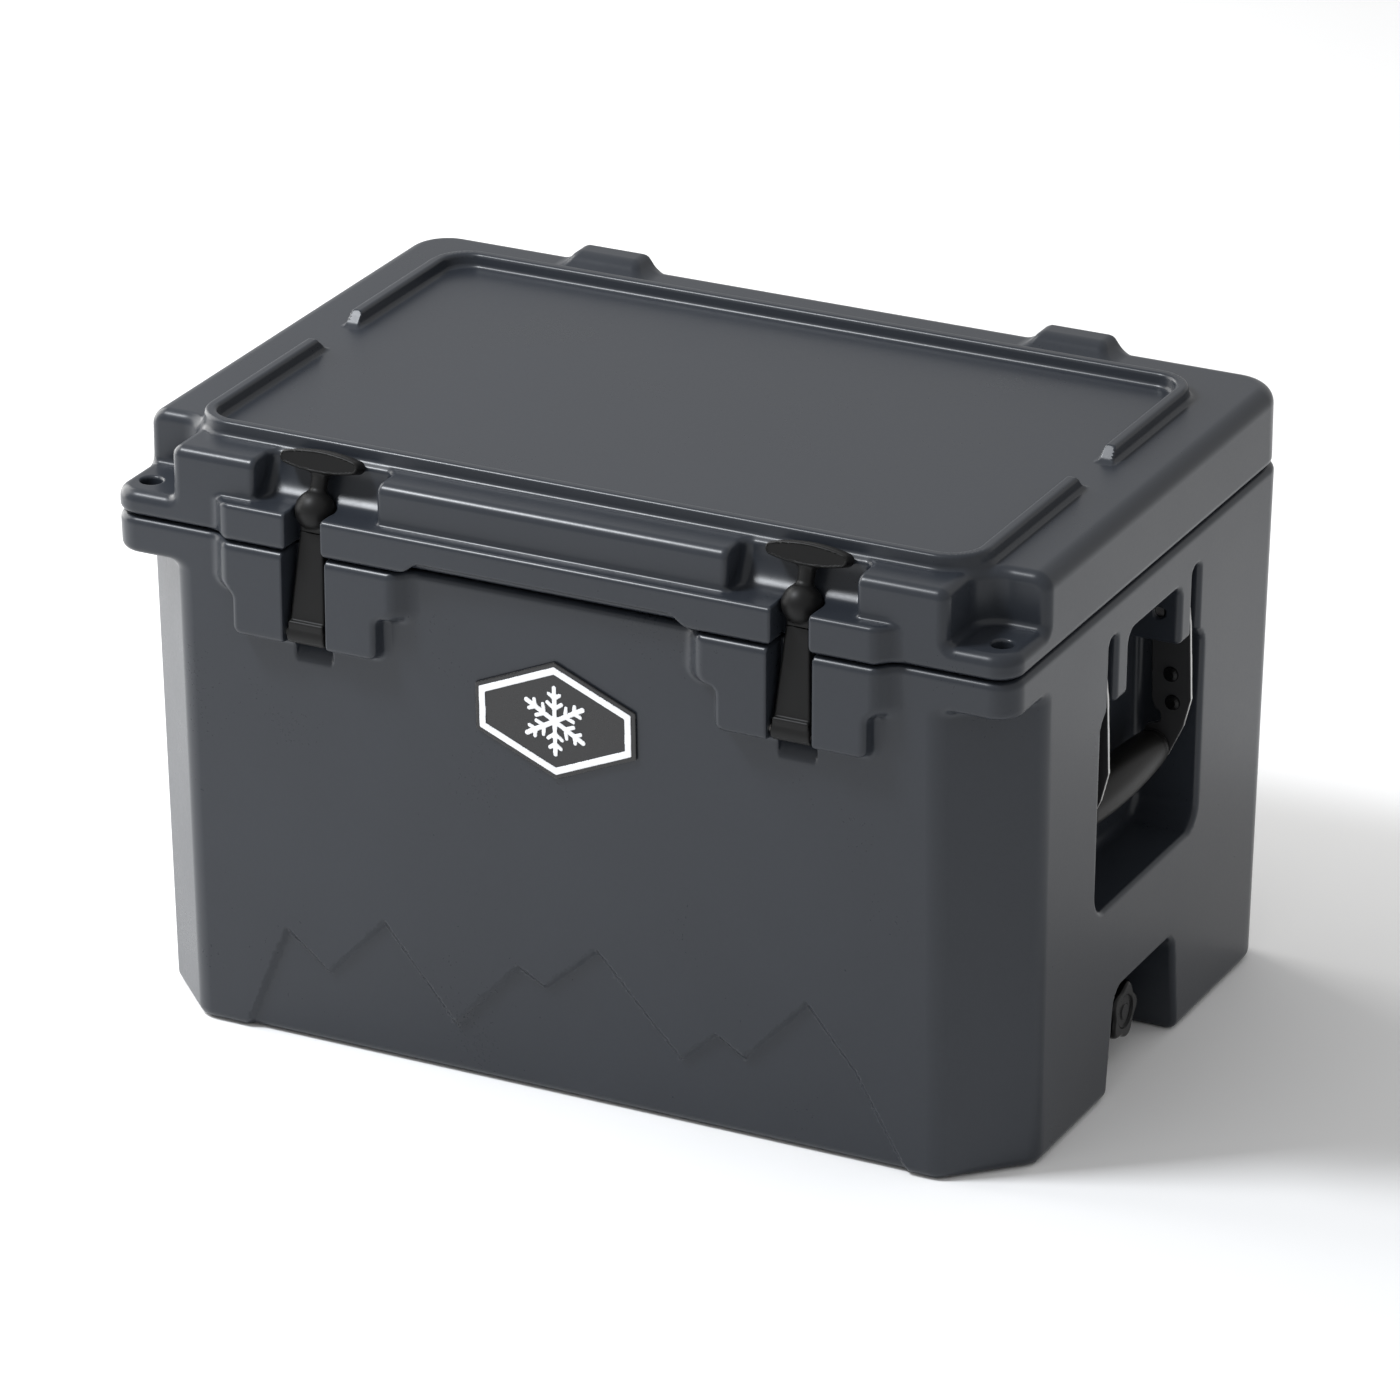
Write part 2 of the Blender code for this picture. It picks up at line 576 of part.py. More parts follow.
def make_lid_liner(material):
    """Inner skin of the lid: plate with a shallow tray that drops into the cavity."""
    plan = rounded_plan(0.334 - GAP, -0.196 + GAP, 0.218 - GAP, 0.060, 0.020, 6)
    liner = from_bmesh("lid_liner", loft_data([flat_ring(plan, LID_BOTTOM), flat_ring(plan, 0.4035)]), material)
    tray_low = rounded_plan(0.262, -0.150, 0.156, 0.020, 0.020, 4)
    tray_top = rounded_plan(0.270, -0.158, 0.164, 0.024, 0.024, 4)
    join(liner, "lid_tray", loft_data([flat_ring(tray_low, 0.378), flat_ring(tray_top, 0.398)]))
    well_low = rounded_plan(0.256, -0.144, 0.150, 0.016, 0.016, 4)
    well_top = rounded_plan(0.264, -0.152, 0.158, 0.020, 0.020, 4)
    cut(liner, "lid_tray_well", loft_data([flat_ring(well_low, 0.383), flat_ring(well_top, 0.405)]))
    rings = [flat_ring(gasket_plan(0.0045), 0.39), flat_ring(gasket_plan(0.0045), 0.3995)]
    groove = tool("gasket_groove", loft_data(rings))
    island_rings = [flat_ring(gasket_plan(-0.0045), 0.38), flat_ring(gasket_plan(-0.0045), 0.41)]
    combine(groove, tool("gasket_island", loft_data(island_rings)), "DIFFERENCE")
    combine(liner, groove, "DIFFERENCE")
    return liner


def make_lid_foam(material):
    """Insulating foam in the lid."""
    foam = from_bmesh("lid_foam", lid_space_data(GAP), material)
    cut(foam, "lid_foam_trim", box_data((-0.4, -0.3, 0.3), (0.4, 0.3, 0.4035 + GAP)))
    well_low = rounded_plan(0.256 - GAP, -0.144 + GAP, 0.150 - GAP, 0.016, 0.016, 4)
    well_top = rounded_plan(0.264 - GAP, -0.152 + GAP, 0.158 - GAP, 0.020, 0.020, 4)
    join(foam, "foam_well", loft_data([flat_ring(well_low, 0.383 + GAP), flat_ring(well_top, 0.405)]))
    for label, sign in SIDES.items():
        clear = SCOOP_HALF + SKIN
        x0 = sign * LATCH_X
        cut(foam, f"foam_scoop_{label}", box_data((x0 - clear, -0.21, 0.40), (x0 + clear, -0.1955, 0.46)))
    return foam


def make_lid_gasket(material):
    """Soft seal in the lid's groove."""
    rings = [flat_ring(gasket_plan(0.004), TUB_TOP + GAP), flat_ring(gasket_plan(0.004), 0.3995 - GAP)]
    gasket = from_bmesh("lid_gasket", loft_data(rings), material)
    inner = [flat_ring(gasket_plan(-0.004), 0.38), flat_ring(gasket_plan(-0.004), 0.41)]
    cut(gasket, "gasket_inside", loft_data(inner))
    return gasket


def make_hinge_pin(label, sign, material):
    """Steel hinge pin through one arm of the lid and the tub on both sides of it."""
    centre = (sign * HINGE_X, HINGE_Y, HINGE_Z)
    data = cylinder_data(centre, "x", HINGE_PIN_RADIUS, HINGE_PIN_HALF, 16)
    return from_bmesh(f"hinge_pin_{label}", data, material, centre, smooth=True)


# ---- latches ------------------------------------------------------------------------
def make_latch(label, sign, rubber, steel):
    """Rubber strap on its pin, and the ball and T-shaped pull above it."""
    x0 = sign * LATCH_X
    pivot = (x0, BARREL_Y, BARREL_Z)
    barrel = cylinder_data(pivot, "x", BARREL_RADIUS, POCKET_HALF - 0.002, 24)
    strap = from_bmesh(f"latch_strap_{label}", barrel, rubber, pivot, smooth=True)
    base = [(x0 - 0.0132, -0.2425), (x0 + 0.0132, -0.2425), (x0 + 0.0132, -0.2355), (x0 - 0.0132, -0.2355)]
    top = [(x0 - 0.0078, -0.2330), (x0 + 0.0078, -0.2330), (x0 + 0.0078, -0.2235), (x0 - 0.0078, -0.2235)]
    join(strap, f"strap_web_{label}", loft_data([flat_ring(base, 0.3335), flat_ring(top, 0.4085)]))
    cut(strap, f"strap_bore_{label}", cylinder_data(pivot, "x", LATCH_PIN_RADIUS + GAP, 0.03, 16))

    pin = cylinder_data(pivot, "x", LATCH_PIN_RADIUS, 0.0270, 16)
    from_bmesh(f"latch_pin_{label}", pin, steel, pivot, smooth=True)

    profile = []
    for angle in range(-80, 61, 20):
        a = math.radians(angle)
        profile.append((BALL_RADIUS * math.sin(a), BALL_RADIUS * math.cos(a)))
    profile += [(0.0160, 0.0062), (0.0245, 0.0062), (0.0300, 0.0085)]
    ball = turned_data(profile, (x0, BALL_Y, BALL_Z), "z", 24)
    head = from_bmesh(f"latch_head_{label}", ball, rubber, (x0, BALL_Y, BALL_Z), smooth=True)
    bar = bmesh.new()
    outline = []
    for k in range(20):
        angle = 2.0 * math.pi * k / 20
        along, across = math.cos(angle), math.sin(angle)
        outline.append((0.0335 * along, 0.0082 * across * (1.0 - 0.35 * along * along)))
    rings = []
    for depth in (0.0, 0.0145):
        rings.append([bar.verts.new((x, depth, z)) for x, z in outline])
    for i in range(20):
        j = (i + 1) % 20
        bar.faces.new((rings[0][i], rings[0][j], rings[1][j], rings[1][i]))
    bar.faces.new(rings[0])
    bar.faces.new(rings[1])
    place = Matrix.Translation((x0, HEAD_Y, HEAD_Z - 0.0005)) @ Matrix.Rotation(-HEAD_TILT, 4, "X")
    bmesh.ops.transform(bar, matrix=place, verts=bar.verts)
    join(head, f"head_bar_{label}", bar)
    return strap, head


# ---- side handles -------------------------------------------------------------------
def arm_outline():
    """Outline of a handle arm in (x, z), from the pivot down to the grip, with its opener."""
    points = arc((PIVOT_X, PIVOT_Z), 0.0125, 20.0, 160.0, 7)
    points += [(0.3215, 0.310), (0.3225, 0.258)]
    points += arc((0.3240, 0.2450), 0.0060, 80.0, -60.0, 4)
    points += [(0.3195, 0.2375)]
    points += arc((GRIP_X, GRIP_Z), 0.0125, 150.0, 330.0, 7)
    points += [(0.3475, 0.2400), (0.3530, 0.2620), (0.3510, 0.3200)]
    return points


def make_handle(label, sign, black, rubber, steel):
    """Two arms on their pivot pins, a cross rod and a grip."""
    pivot = (sign * PIVOT_X, HANDLE_Y, PIVOT_Z)
    for spot, side in (("front", -1), ("back", 1)):
        y0 = HANDLE_Y + side * ARM_OFFSET
        outline = [(sign * x, z) for x, z in arm_outline()]
        data = plate_data(outline, "y", y0 - ARM_HALF, y0 + ARM_HALF)
        arm = from_bmesh(f"handle_arm_{label}_{spot}", data, black, pivot)
        hole = cylinder_data((sign * PIVOT_X, y0, PIVOT_Z), "y", PIVOT_RADIUS + GAP, 0.01, 16)
        cut(arm, f"arm_pivot_hole_{label}_{spot}", hole)
        rod_hole = cylinder_data((sign * GRIP_X, y0, GRIP_Z), "y", ROD_RADIUS + GAP, 0.01, 16)
        cut(arm, f"arm_rod_hole_{label}_{spot}", rod_hole)
        for k, (dx, dz) in enumerate(RIVETS):
            centre = (sign * (PIVOT_X + dx), y0, PIVOT_Z + dz)
            hole = cylinder_data(centre, "y", 0.0025 + GAP, 0.01, 12)
            cut(arm, f"arm_rivet_hole_{label}_{spot}_{k + 1}", hole)
            inward = -side
            profile = [
                (inward * (ARM_HALF + GAP), RIVET_RADIUS),
                (inward * (ARM_HALF + 0.0018), RIVET_RADIUS - 0.0006),
                (inward * (ARM_HALF + 0.0026), 0.0030),
            ]
            profile = [(-inward * (ARM_HALF + 0.0010), 0.0025), (inward * (ARM_HALF + GAP), 0.0025)] + profile
            rivet = turned_data(profile, centre, "y", 16)
            from_bmesh(f"handle_rivet_{label}_{spot}_{k + 1}", rivet, black, pivot, smooth=True)
        pin_centre = (sign * PIVOT_X, HANDLE_Y + side * PIVOT_PIN_CENTRE, PIVOT_Z)
        pin = cylinder_data(pin_centre, "y", PIVOT_RADIUS, PIVOT_PIN_HALF, 16)
        from_bmesh(f"handle_pin_{label}_{spot}", pin, steel, pivot, smooth=True)
    centre = (sign * GRIP_X, HANDLE_Y, GRIP_Z)
    rod = cylinder_data(centre, "y", ROD_RADIUS, ARM_OFFSET + ARM_HALF, 16)
    from_bmesh(f"handle_rod_{label}", rod, steel, pivot, smooth=True)
    profile = []
    for k in range(9):
        t = -1.0 + 2.0 * k / 8
        radius = GRIP_END_RADIUS + (GRIP_MID_RADIUS - GRIP_END_RADIUS) * math.cos(t * math.pi / 2) ** 0.7
        profile.append((t * GRIP_HALF, radius))
    grip = from_bmesh(f"handle_grip_{label}", turned_data(profile, centre, "y", 24), rubber, pivot, smooth=True)
    cut(grip, f"grip_bore_{label}", cylinder_data(centre, "y", GRIP_BORE, 0.08, 16))


# ---- drain --------------------------------------------------------------------------
def lobed_outline(radius, lobes=5, steps=40):
    """Outline of a knob with soft lobes."""
    points = []
    for k in range(steps):
        angle = 2.0 * math.pi * k / steps
        r = radius * (0.92 + 0.08 * math.cos(lobes * angle))
        points.append((DRAIN_Y + r * math.cos(angle), DRAIN_Z + r * math.sin(angle)))
    return points


def make_drain(black, rubber):
    """Drain tube through the wall, its seal, and the lobed plug that screws onto it."""
    centre = (0.2900, DRAIN_Y, DRAIN_Z)
    start, end = 0.2737, 0.3125
    profile = [(start - 0.29, DRAIN_BORE), (end - 0.29, DRAIN_BORE)]
    tube = from_bmesh("drain_tube", turned_data(profile, centre, "x", 24), black, centre, smooth=True)
    flange = turned_data([(0.3063 - 0.29, 0.017), (0.3093 - 0.29, 0.017)], centre, "x", 24)
    join(tube, "drain_flange", flange)
    cut(tube, "drain_passage", cylinder_data(centre, "x", 0.0095, 0.04, 24))

    seal = turned_data([(0.3096 - 0.29, 0.0168), (0.3121 - 0.29, 0.0168)], centre, "x", 24)
    seal = from_bmesh("drain_seal", seal, rubber, centre, smooth=True)
    cut(seal, "seal_hole", cylinder_data(centre, "x", DRAIN_BORE + GAP, 0.04, 24))

    plug_origin = (0.3124, DRAIN_Y, DRAIN_Z)
    outline = lobed_outline(PLUG_RADIUS)
    plug = from_bmesh("drain_plug", plate_data(outline, "x", 0.3124 + GAP, 0.3375), black, plug_origin)
    cut(plug, "plug_hollow", cylinder_data((0.3124, DRAIN_Y, DRAIN_Z), "x", DRAIN_BORE + 0.0003, 0.0012, 24))
    stem = cylinder_data((0.3060, DRAIN_Y, DRAIN_Z), "x", 0.0092, 0.0090, 24)
    join(plug, "plug_stem", stem)


# ---- badge --------------------------------------------------------------------------
def badge_outline(scale):
    """Six-sided plate, pointed at the top and bottom."""
    w, h, s = BADGE_HALF_WIDTH * scale, BADGE_HALF_HEIGHT * scale, BADGE_SHOULDER * scale
    return [(0.0, h), (-w, s), (-w, -s), (0.0, -h), (w, -s), (w, s)]


def make_badge(plate_material, symbol_material):
    """Plain badge plate on the front face, with a raised three-peak symbol."""
    slope = math.atan2(face_y(BADGE_Z - 0.05) - face_y(BADGE_Z + 0.05), 0.1)
    place = Matrix.Translation((BADGE_Y, face_y(BADGE_Z) - GAP, BADGE_Z)) @ Matrix.Rotation(slope, 4, "X")
    data = plate_data(badge_outline(1.0), "y", -0.0018, 0.0)
    bmesh.ops.transform(data, matrix=place, verts=data.verts)
    from_bmesh("badge_plate", data, plate_material)
    data = plate_data(badge_outline(0.86), "y", -0.0030, -0.0018 - GAP)
    bmesh.ops.transform(data, matrix=place, verts=data.verts)
    from_bmesh("badge_symbol", data, symbol_material)


# ---- assembly -----------------------------------------------------------------------
def build():
    """Make every sub-part."""
    clear_scene()
    shell = finish_material("rotomolded_shell", (0.060, 0.067, 0.076), 0.55)
    inner = finish_material("liner_plastic", (0.070, 0.074, 0.080), 0.55)
    foam = finish_material("insulating_foam", (0.83, 0.76, 0.55), 0.90)
    seal = finish_material("gasket_rubber", (0.030, 0.030, 0.031), 0.70)
    rubber = finish_material("latch_rubber", (0.024, 0.024, 0.025), 0.60)
    steel = finish_material("pin_steel", (0.58, 0.57, 0.55), 0.30, 1.0)
    black = finish_material("coated_steel", (0.018, 0.018, 0.019), 0.45)
    plastic = finish_material("black_plastic", (0.022, 0.022, 0.023), 0.40)
    grip = finish_material("grip_plastic", (0.030, 0.029, 0.028), 0.40)
    badge_black = finish_material("badge_black", (0.012, 0.012, 0.013), 0.25)
    badge_white = finish_material("badge_white", (0.86, 0.87, 0.88), 0.30)

    make_tub_shell(shell)
    make_tub_liner(inner)
    make_tub_foam(foam)
    make_lid_shell(shell)
    make_lid_liner(inner)
    make_lid_foam(foam)
    make_lid_gasket(seal)
    for label, sign in SIDES.items():
        make_hinge_pin(label, sign, steel)
        make_latch(label, sign, rubber, steel)
        make_handle(label, sign, black, grip, steel)
    make_drain(plastic, seal)
    make_badge(badge_black, badge_white)


build()
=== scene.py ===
"""Looks of a hard insulated cooler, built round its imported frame.

The two mouldings, the rubber latches and the small fittings are solids given by a
signed distance: a number for every point, below zero inside. Each one is sampled on a
ruled grid, turned into a skin of four-sided faces, and every vertex is then moved onto
the exact surface, whose slope also gives the vertex normal.
"""

import logging
import math
from collections.abc import Callable, Sequence
from dataclasses import dataclass, field
from enum import Enum
from itertools import product

import bpy
import numpy as np
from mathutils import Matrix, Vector


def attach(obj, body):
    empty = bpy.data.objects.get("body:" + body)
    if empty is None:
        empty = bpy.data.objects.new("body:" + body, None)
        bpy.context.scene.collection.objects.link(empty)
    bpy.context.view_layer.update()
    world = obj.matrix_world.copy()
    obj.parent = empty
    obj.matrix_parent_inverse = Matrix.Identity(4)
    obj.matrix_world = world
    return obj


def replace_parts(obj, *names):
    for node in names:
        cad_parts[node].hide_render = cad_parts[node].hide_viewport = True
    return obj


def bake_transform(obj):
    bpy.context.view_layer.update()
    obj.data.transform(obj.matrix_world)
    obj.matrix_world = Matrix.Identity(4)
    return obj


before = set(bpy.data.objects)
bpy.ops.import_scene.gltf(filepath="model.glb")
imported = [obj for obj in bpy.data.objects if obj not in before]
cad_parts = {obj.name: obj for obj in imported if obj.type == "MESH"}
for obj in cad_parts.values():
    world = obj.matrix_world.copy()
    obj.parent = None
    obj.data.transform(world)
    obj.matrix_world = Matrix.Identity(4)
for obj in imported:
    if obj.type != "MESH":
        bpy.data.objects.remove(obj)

LOG = logging.getLogger("cooler")
MOST_TRIANGLES = 190_000

Array = np.ndarray
Pattern = Callable[[Array, Array], Array]
Distance = Callable[[Array, Array, Array], Array]
Span = tuple[float, float, float]


class Place(Enum):
    """A choice of places, whose names the frame spells in small letters."""

    @property
    def label(self) -> str:
        """The name as the frame spells it."""
        return self.name.lower()


class Side(Place):
    """The two ends of the cooler, with the sign of their x."""

    LEFT = -1
    RIGHT = 1


class Spot(Place):
    """The front and the back arm of a handle, with the sign of their y."""

    FRONT = -1
    BACK = 1


# ---- distances ----------------------------------------------------------------------
def meet(a: Array, b: Array, radius: float | Array = 0.0) -> Array:
    """What two solids share, with the new edge rounded off.

    Formula: the larger distance, but within radius of both surfaces the length of the
    two distances taken from a line that lies radius inside them.

    Args:
        a: Distance to the first solid.
        b: Distance to the second solid.
        radius: Radius of the rounded edge.

    Returns:
        Distance to the shared solid.
    """
    if isinstance(radius, float) and radius <= 0.0:
        return np.maximum(a, b)
    corner = np.hypot(np.maximum(a + radius, 0.0), np.maximum(b + radius, 0.0))
    return np.minimum(np.maximum(a, b), -radius) + corner


def merge(a: Array, b: Array, radius: float | Array = 0.0) -> Array:
    """Two solids as one, with a fillet of that radius where they join.

    Args:
        a: Distance to the first solid.
        b: Distance to the second solid.
        radius: Radius of the fillet.

    Returns:
        Distance to the joined solid.
    """
    return -meet(-a, -b, radius)


def carve(a: Array, b: Array, radius: float | Array = 0.0) -> Array:
    """The first solid without the second, with the cut's edge rounded off.

    Args:
        a: Distance to the solid.
        b: Distance to what is cut away.
        radius: Radius of the cut's edge.

    Returns:
        Distance to what is left.
    """
    return meet(a, -b, radius)


def between(value: Array, low: float, high: float) -> Array:
    """Distance to the slab from low to high along one direction."""
    return np.maximum(low - value, value - high)


def smooth_step(value: Array, low: float, high: float) -> Array:
    """A step from 0 at low to 1 at high that starts and ends level."""
    t = np.clip((value - low) / (high - low), 0.0, 1.0)
    return t * t * (3.0 - 2.0 * t)


def outline_distance(u: Array, v: Array, corners: Sequence[tuple[float, float]]) -> Array:
    """Distance to a closed outline of straight sides.

    Formula: the least distance to any side, below zero where a ray to the right
    crosses the outline an odd number of times.

    Args:
        u: First coordinate of the points.
        v: Second coordinate of the points.
        corners: The outline's corners in order.

    Returns:
        Signed distance, below zero inside.
    """
    least = np.inf
    inside = False
    for (u0, v0), (u1, v1) in zip(corners, [*corners[1:], corners[0]]):
        du, dv = u1 - u0, v1 - v0
        along = np.clip(((u - u0) * du + (v - v0) * dv) / (du * du + dv * dv), 0.0, 1.0)
        least = np.minimum(least, (u - u0 - along * du) ** 2 + (v - v0 - along * dv) ** 2)
        if dv:
            inside = inside ^ (((v0 > v) != (v1 > v)) & (u < u0 + (v - v0) * du / dv))
    return np.where(inside, -1.0, 1.0) * np.sqrt(least)


def arc_points(centre: tuple[float, float], radius: float, start: float, end: float, steps: int) -> list:
    """Points on an arc.

    Args:
        centre: Centre of the arc.
        radius: Radius of the arc.
        start: First angle in degrees.
        end: Last angle in degrees.
        steps: Number of sides along the arc.

    Returns:
        The points as pairs.
    """
    angles = np.radians(np.linspace(start, end, steps + 1))
    return [(centre[0] + radius * math.cos(t), centre[1] + radius * math.sin(t)) for t in angles]


def ruling(low: float, high: float, coarse: float, spans: Sequence[Span] = ()) -> Array:
    """Grid lines along one axis, close together where the shape has detail.

    Args:
        low: First line.
        high: Last line.
        coarse: Spacing outside the spans.
        spans: Stretches with a spacing of their own, as (from, to, spacing).

    Returns:
        The lines' places.
    """
    lines = [low]
    while lines[-1] < high:
        at = lines[-1]
        step = coarse
        for start, end, spacing in spans:
            if start - coarse <= at < end:
                step = min(step, spacing)
        lines.append(at + step)
    return np.array(lines)


def mirrored(spans: Sequence[Span]) -> list[Span]:
    """The spans and their mirror images about zero."""
    return [*spans, *((-end, -start, step) for start, end, step in spans)]


# ---- skins --------------------------------------------------------------------------
def slope_of(shape: Distance, points: Array, reach: float = 1.0e-4) -> Array:
    """Slope of a distance at points, from the values on both sides along each axis.

    Args:
        shape: The solid's distance.
        points: Rows of x, y and z.
        reach: How far to each side the values are taken.

    Returns:
        The slope at each point.
    """
    slope = np.empty_like(points)
    for axis in range(3):
        step = np.zeros(3)
        step[axis] = reach
        ahead, behind = (points + step).T, (points - step).T
        slope[:, axis] = (shape(*ahead) - shape(*behind)) / (2.0 * reach)
    return slope


def onto_surface(shape: Distance, points: Array, rounds: int = 3) -> Array:
    """Moves points onto a solid's surface.

    Formula: each point steps against the slope by its distance over the slope's
    squared length, at most 2 mm at a time.

    Args:
        shape: The solid's distance.
        points: Points near the surface.
        rounds: How many steps are taken.

    Returns:
        The moved points.
    """
    for _ in range(rounds):
        slope = slope_of(shape, points)
        square = np.maximum((slope * slope).sum(1), 0.04)
        move = slope * (shape(*points.T) / square)[:, None]
        length = np.linalg.norm(move, axis=1, keepdims=True)
        points = points - move * np.minimum(1.0, 0.002 / np.maximum(length, 1.0e-12))
    return points


def bend_of(shape: Distance, points: Array, reach: float = 1.5e-3) -> Array:
    """How sharply a surface bends outwards, from the distances round each point.

    Args:
        shape: The solid's distance.
        points: Rows of x, y and z on its surface.
        reach: How far away the six values are taken.

    Returns:
        From 1 at a sharp outer edge to -1 at a sharp inner one.
    """
    total = -6.0 * shape(*points.T)
    for axis, sign in product(range(3), (-1, 1)):
        step = np.zeros(3)
        step[axis] = sign * reach
        total = total + shape(*(points + step).T)
    return np.clip(total / reach, -1.0, 1.0)


def skin_of(shape: Distance, rulings: Sequence[Array]) -> tuple[Array, Array]:
    """Four-sided faces that follow a solid's surface through a ruled grid.

    Formula: a cell that the surface passes through gets one vertex, at the mean of the
    surface's crossings with the cell's edges; each grid edge that crosses the surface
    gets a face between the four cells round it.

    Args:
        shape: The solid's distance.
        rulings: Grid lines along x, y and z.

    Returns:
        Vertices and faces.
    """
    size = tuple(len(r) for r in rulings)
    values = shape(rulings[0][:, None, None], rulings[1][None, :, None], rulings[2][None, None, :])
    values = np.broadcast_to(values, size)
    inside = values < 0.0
    count = np.zeros([n - 1 for n in size], np.int8)
    for corner in product((0, 1), repeat=3):
        count += inside[tuple(slice(c, c + n - 1) for c, n in zip(corner, size))]
    cells = np.argwhere((count > 0) & (count < 8))
    index = np.full(count.shape, -1, np.int64)
    index[tuple(cells.T)] = np.arange(len(cells))

    total, hits = np.zeros((len(cells), 3)), np.zeros(len(cells))
    for axis, (first, second) in product(range(3), product((0, 1), repeat=2)):
        offset = np.zeros(3, np.int64)
        offset[(axis + 1) % 3], offset[(axis + 2) % 3] = first, second
        start = cells + offset
        end = start.copy()
        end[:, axis] += 1
        v0, v1 = values[tuple(start.T)], values[tuple(end.T)]
        crossed = (v0 < 0.0) != (v1 < 0.0)
        share = np.where(crossed, v0 / np.where(crossed, v0 - v1, 1.0), 0.0)
        point = np.stack([rulings[k][start[:, k]] for k in range(3)], 1)
        point[:, axis] += share * (rulings[axis][end[:, axis]] - point[:, axis])
        total += point * crossed[:, None]
        hits += crossed
    vertices = total / hits[:, None]

    faces = []
    for axis in range(3):
        u, v = (axis + 1) % 3, (axis + 2) % 3
        low, high = [slice(1, -1)] * 3, [slice(1, -1)] * 3
        low[axis], high[axis] = slice(0, -1), slice(1, None)
        starts_inside = inside[tuple(low)]
        crossing = np.argwhere(starts_inside != inside[tuple(high)])
        outwards = starts_inside[tuple(crossing.T)]
        crossing[:, u] += 1
        crossing[:, v] += 1
        ring = []
        for du, dv in ((-1, -1), (0, -1), (0, 0), (-1, 0)):
            cell = crossing.copy()
            cell[:, u] += du
            cell[:, v] += dv
            ring.append(index[tuple(cell.T)])
        quads = np.stack(ring, 1)
        faces.append(np.where(outwards[:, None], quads, quads[:, ::-1]))
    return vertices, np.concatenate(faces)


def add_mesh(name: str, vertices: Array, faces: Array) -> bpy.types.Object:
    """Puts vertices and faces into a new smooth-shaded object at the origin.

    Args:
        name: The object's name.
        vertices: Rows of x, y and z.
        faces: Rows of vertex numbers.

    Returns:
        The object.
    """
    mesh = bpy.data.meshes.new(name)
    mesh.from_pydata(vertices.tolist(), [], faces.tolist())
    mesh.polygons.foreach_set("use_smooth", np.ones(len(mesh.polygons), bool))
    piece = bpy.data.objects.new(name, mesh)
    bpy.context.scene.collection.objects.link(piece)
    return piece


def thin_out(piece: bpy.types.Object, share: float) -> None:
    """Merges faces on the flats until only that share of the triangles is left.

    Args:
        piece: The object.
        share: The share of its triangles that stays.
    """
    thinner = piece.modifiers.new("thin_out", "DECIMATE")
    thinner.ratio = share
    thinned = bpy.data.meshes.new_from_object(piece.evaluated_get(bpy.context.evaluated_depsgraph_get()))
    piece.modifiers.clear()
    piece.data = thinned


def solid(name: str, shape: Distance, rulings: Sequence[Array]) -> bpy.types.Object:
    """Makes the object of a solid, with exact normals and an "edge" attribute.

    Args:
        name: The object's name.
        shape: The solid's distance.
        rulings: Grid lines along x, y and z.

    Returns:
        The object, whose "edge" attribute tells how sharply each vertex bends outwards.
    """
    vertices, faces = skin_of(shape, rulings)
    piece = add_mesh(name, onto_surface(shape, vertices), faces)
    if 2 * len(faces) > MOST_TRIANGLES:
        thin_out(piece, MOST_TRIANGLES / (2 * len(faces)))
    mesh = piece.data
    points = np.empty(len(mesh.vertices) * 3)
    mesh.vertices.foreach_get("co", points)
    points = onto_surface(shape, points.reshape(-1, 3), 2)
    mesh.vertices.foreach_set("co", points.ravel())
    normals = slope_of(shape, points)
    normals /= np.maximum(np.linalg.norm(normals, axis=1, keepdims=True), 1.0e-9)
    edge = mesh.attributes.new("edge", "FLOAT", "POINT")
    edge.data.foreach_set("value", bend_of(shape, points).astype(np.float32))
    mesh.normals_split_custom_set_from_vertices(normals)
    mesh.update()
    LOG.info("%s: %d vertices, %d faces", name, len(mesh.vertices), len(mesh.polygons))
    return piece


def turned(name: str, profile: Array, centre: Vector, steps: int = 64) -> bpy.types.Object:
    """Makes a piece turned about a line along y.

    Formula: a point at (along, radius) of the profile goes to x = centre + radius times
    cosine, y = centre + along, z = centre + radius times sine, for each turning angle.

    Args:
        name: The object's name.
        profile: Rows of (along, radius), from the front to the back, closed at radius 0.
        centre: The turning line's middle.
        steps: Number of turning angles.

    Returns:
        The object.
    """
    angle = np.linspace(0.0, 2.0 * math.pi, steps, endpoint=False)[None, :]
    along, radius = profile[:, :1], profile[:, 1:]
    x = centre[0] + radius * np.cos(angle)
    y = centre[1] + along + 0.0 * angle
    z = centre[2] + radius * np.sin(angle)
    vertices = np.stack([x, y, z], -1).reshape(-1, 3)
    row, column = np.meshgrid(np.arange(len(profile) - 1), np.arange(steps), indexing="ij")
    ahead = (column + 1) % steps
    ring, following = row * steps, (row + 1) * steps
    quads = np.stack([ring + column, following + column, following + ahead, ring + ahead], -1)
    return add_mesh(name, vertices, quads.reshape(-1, 4))


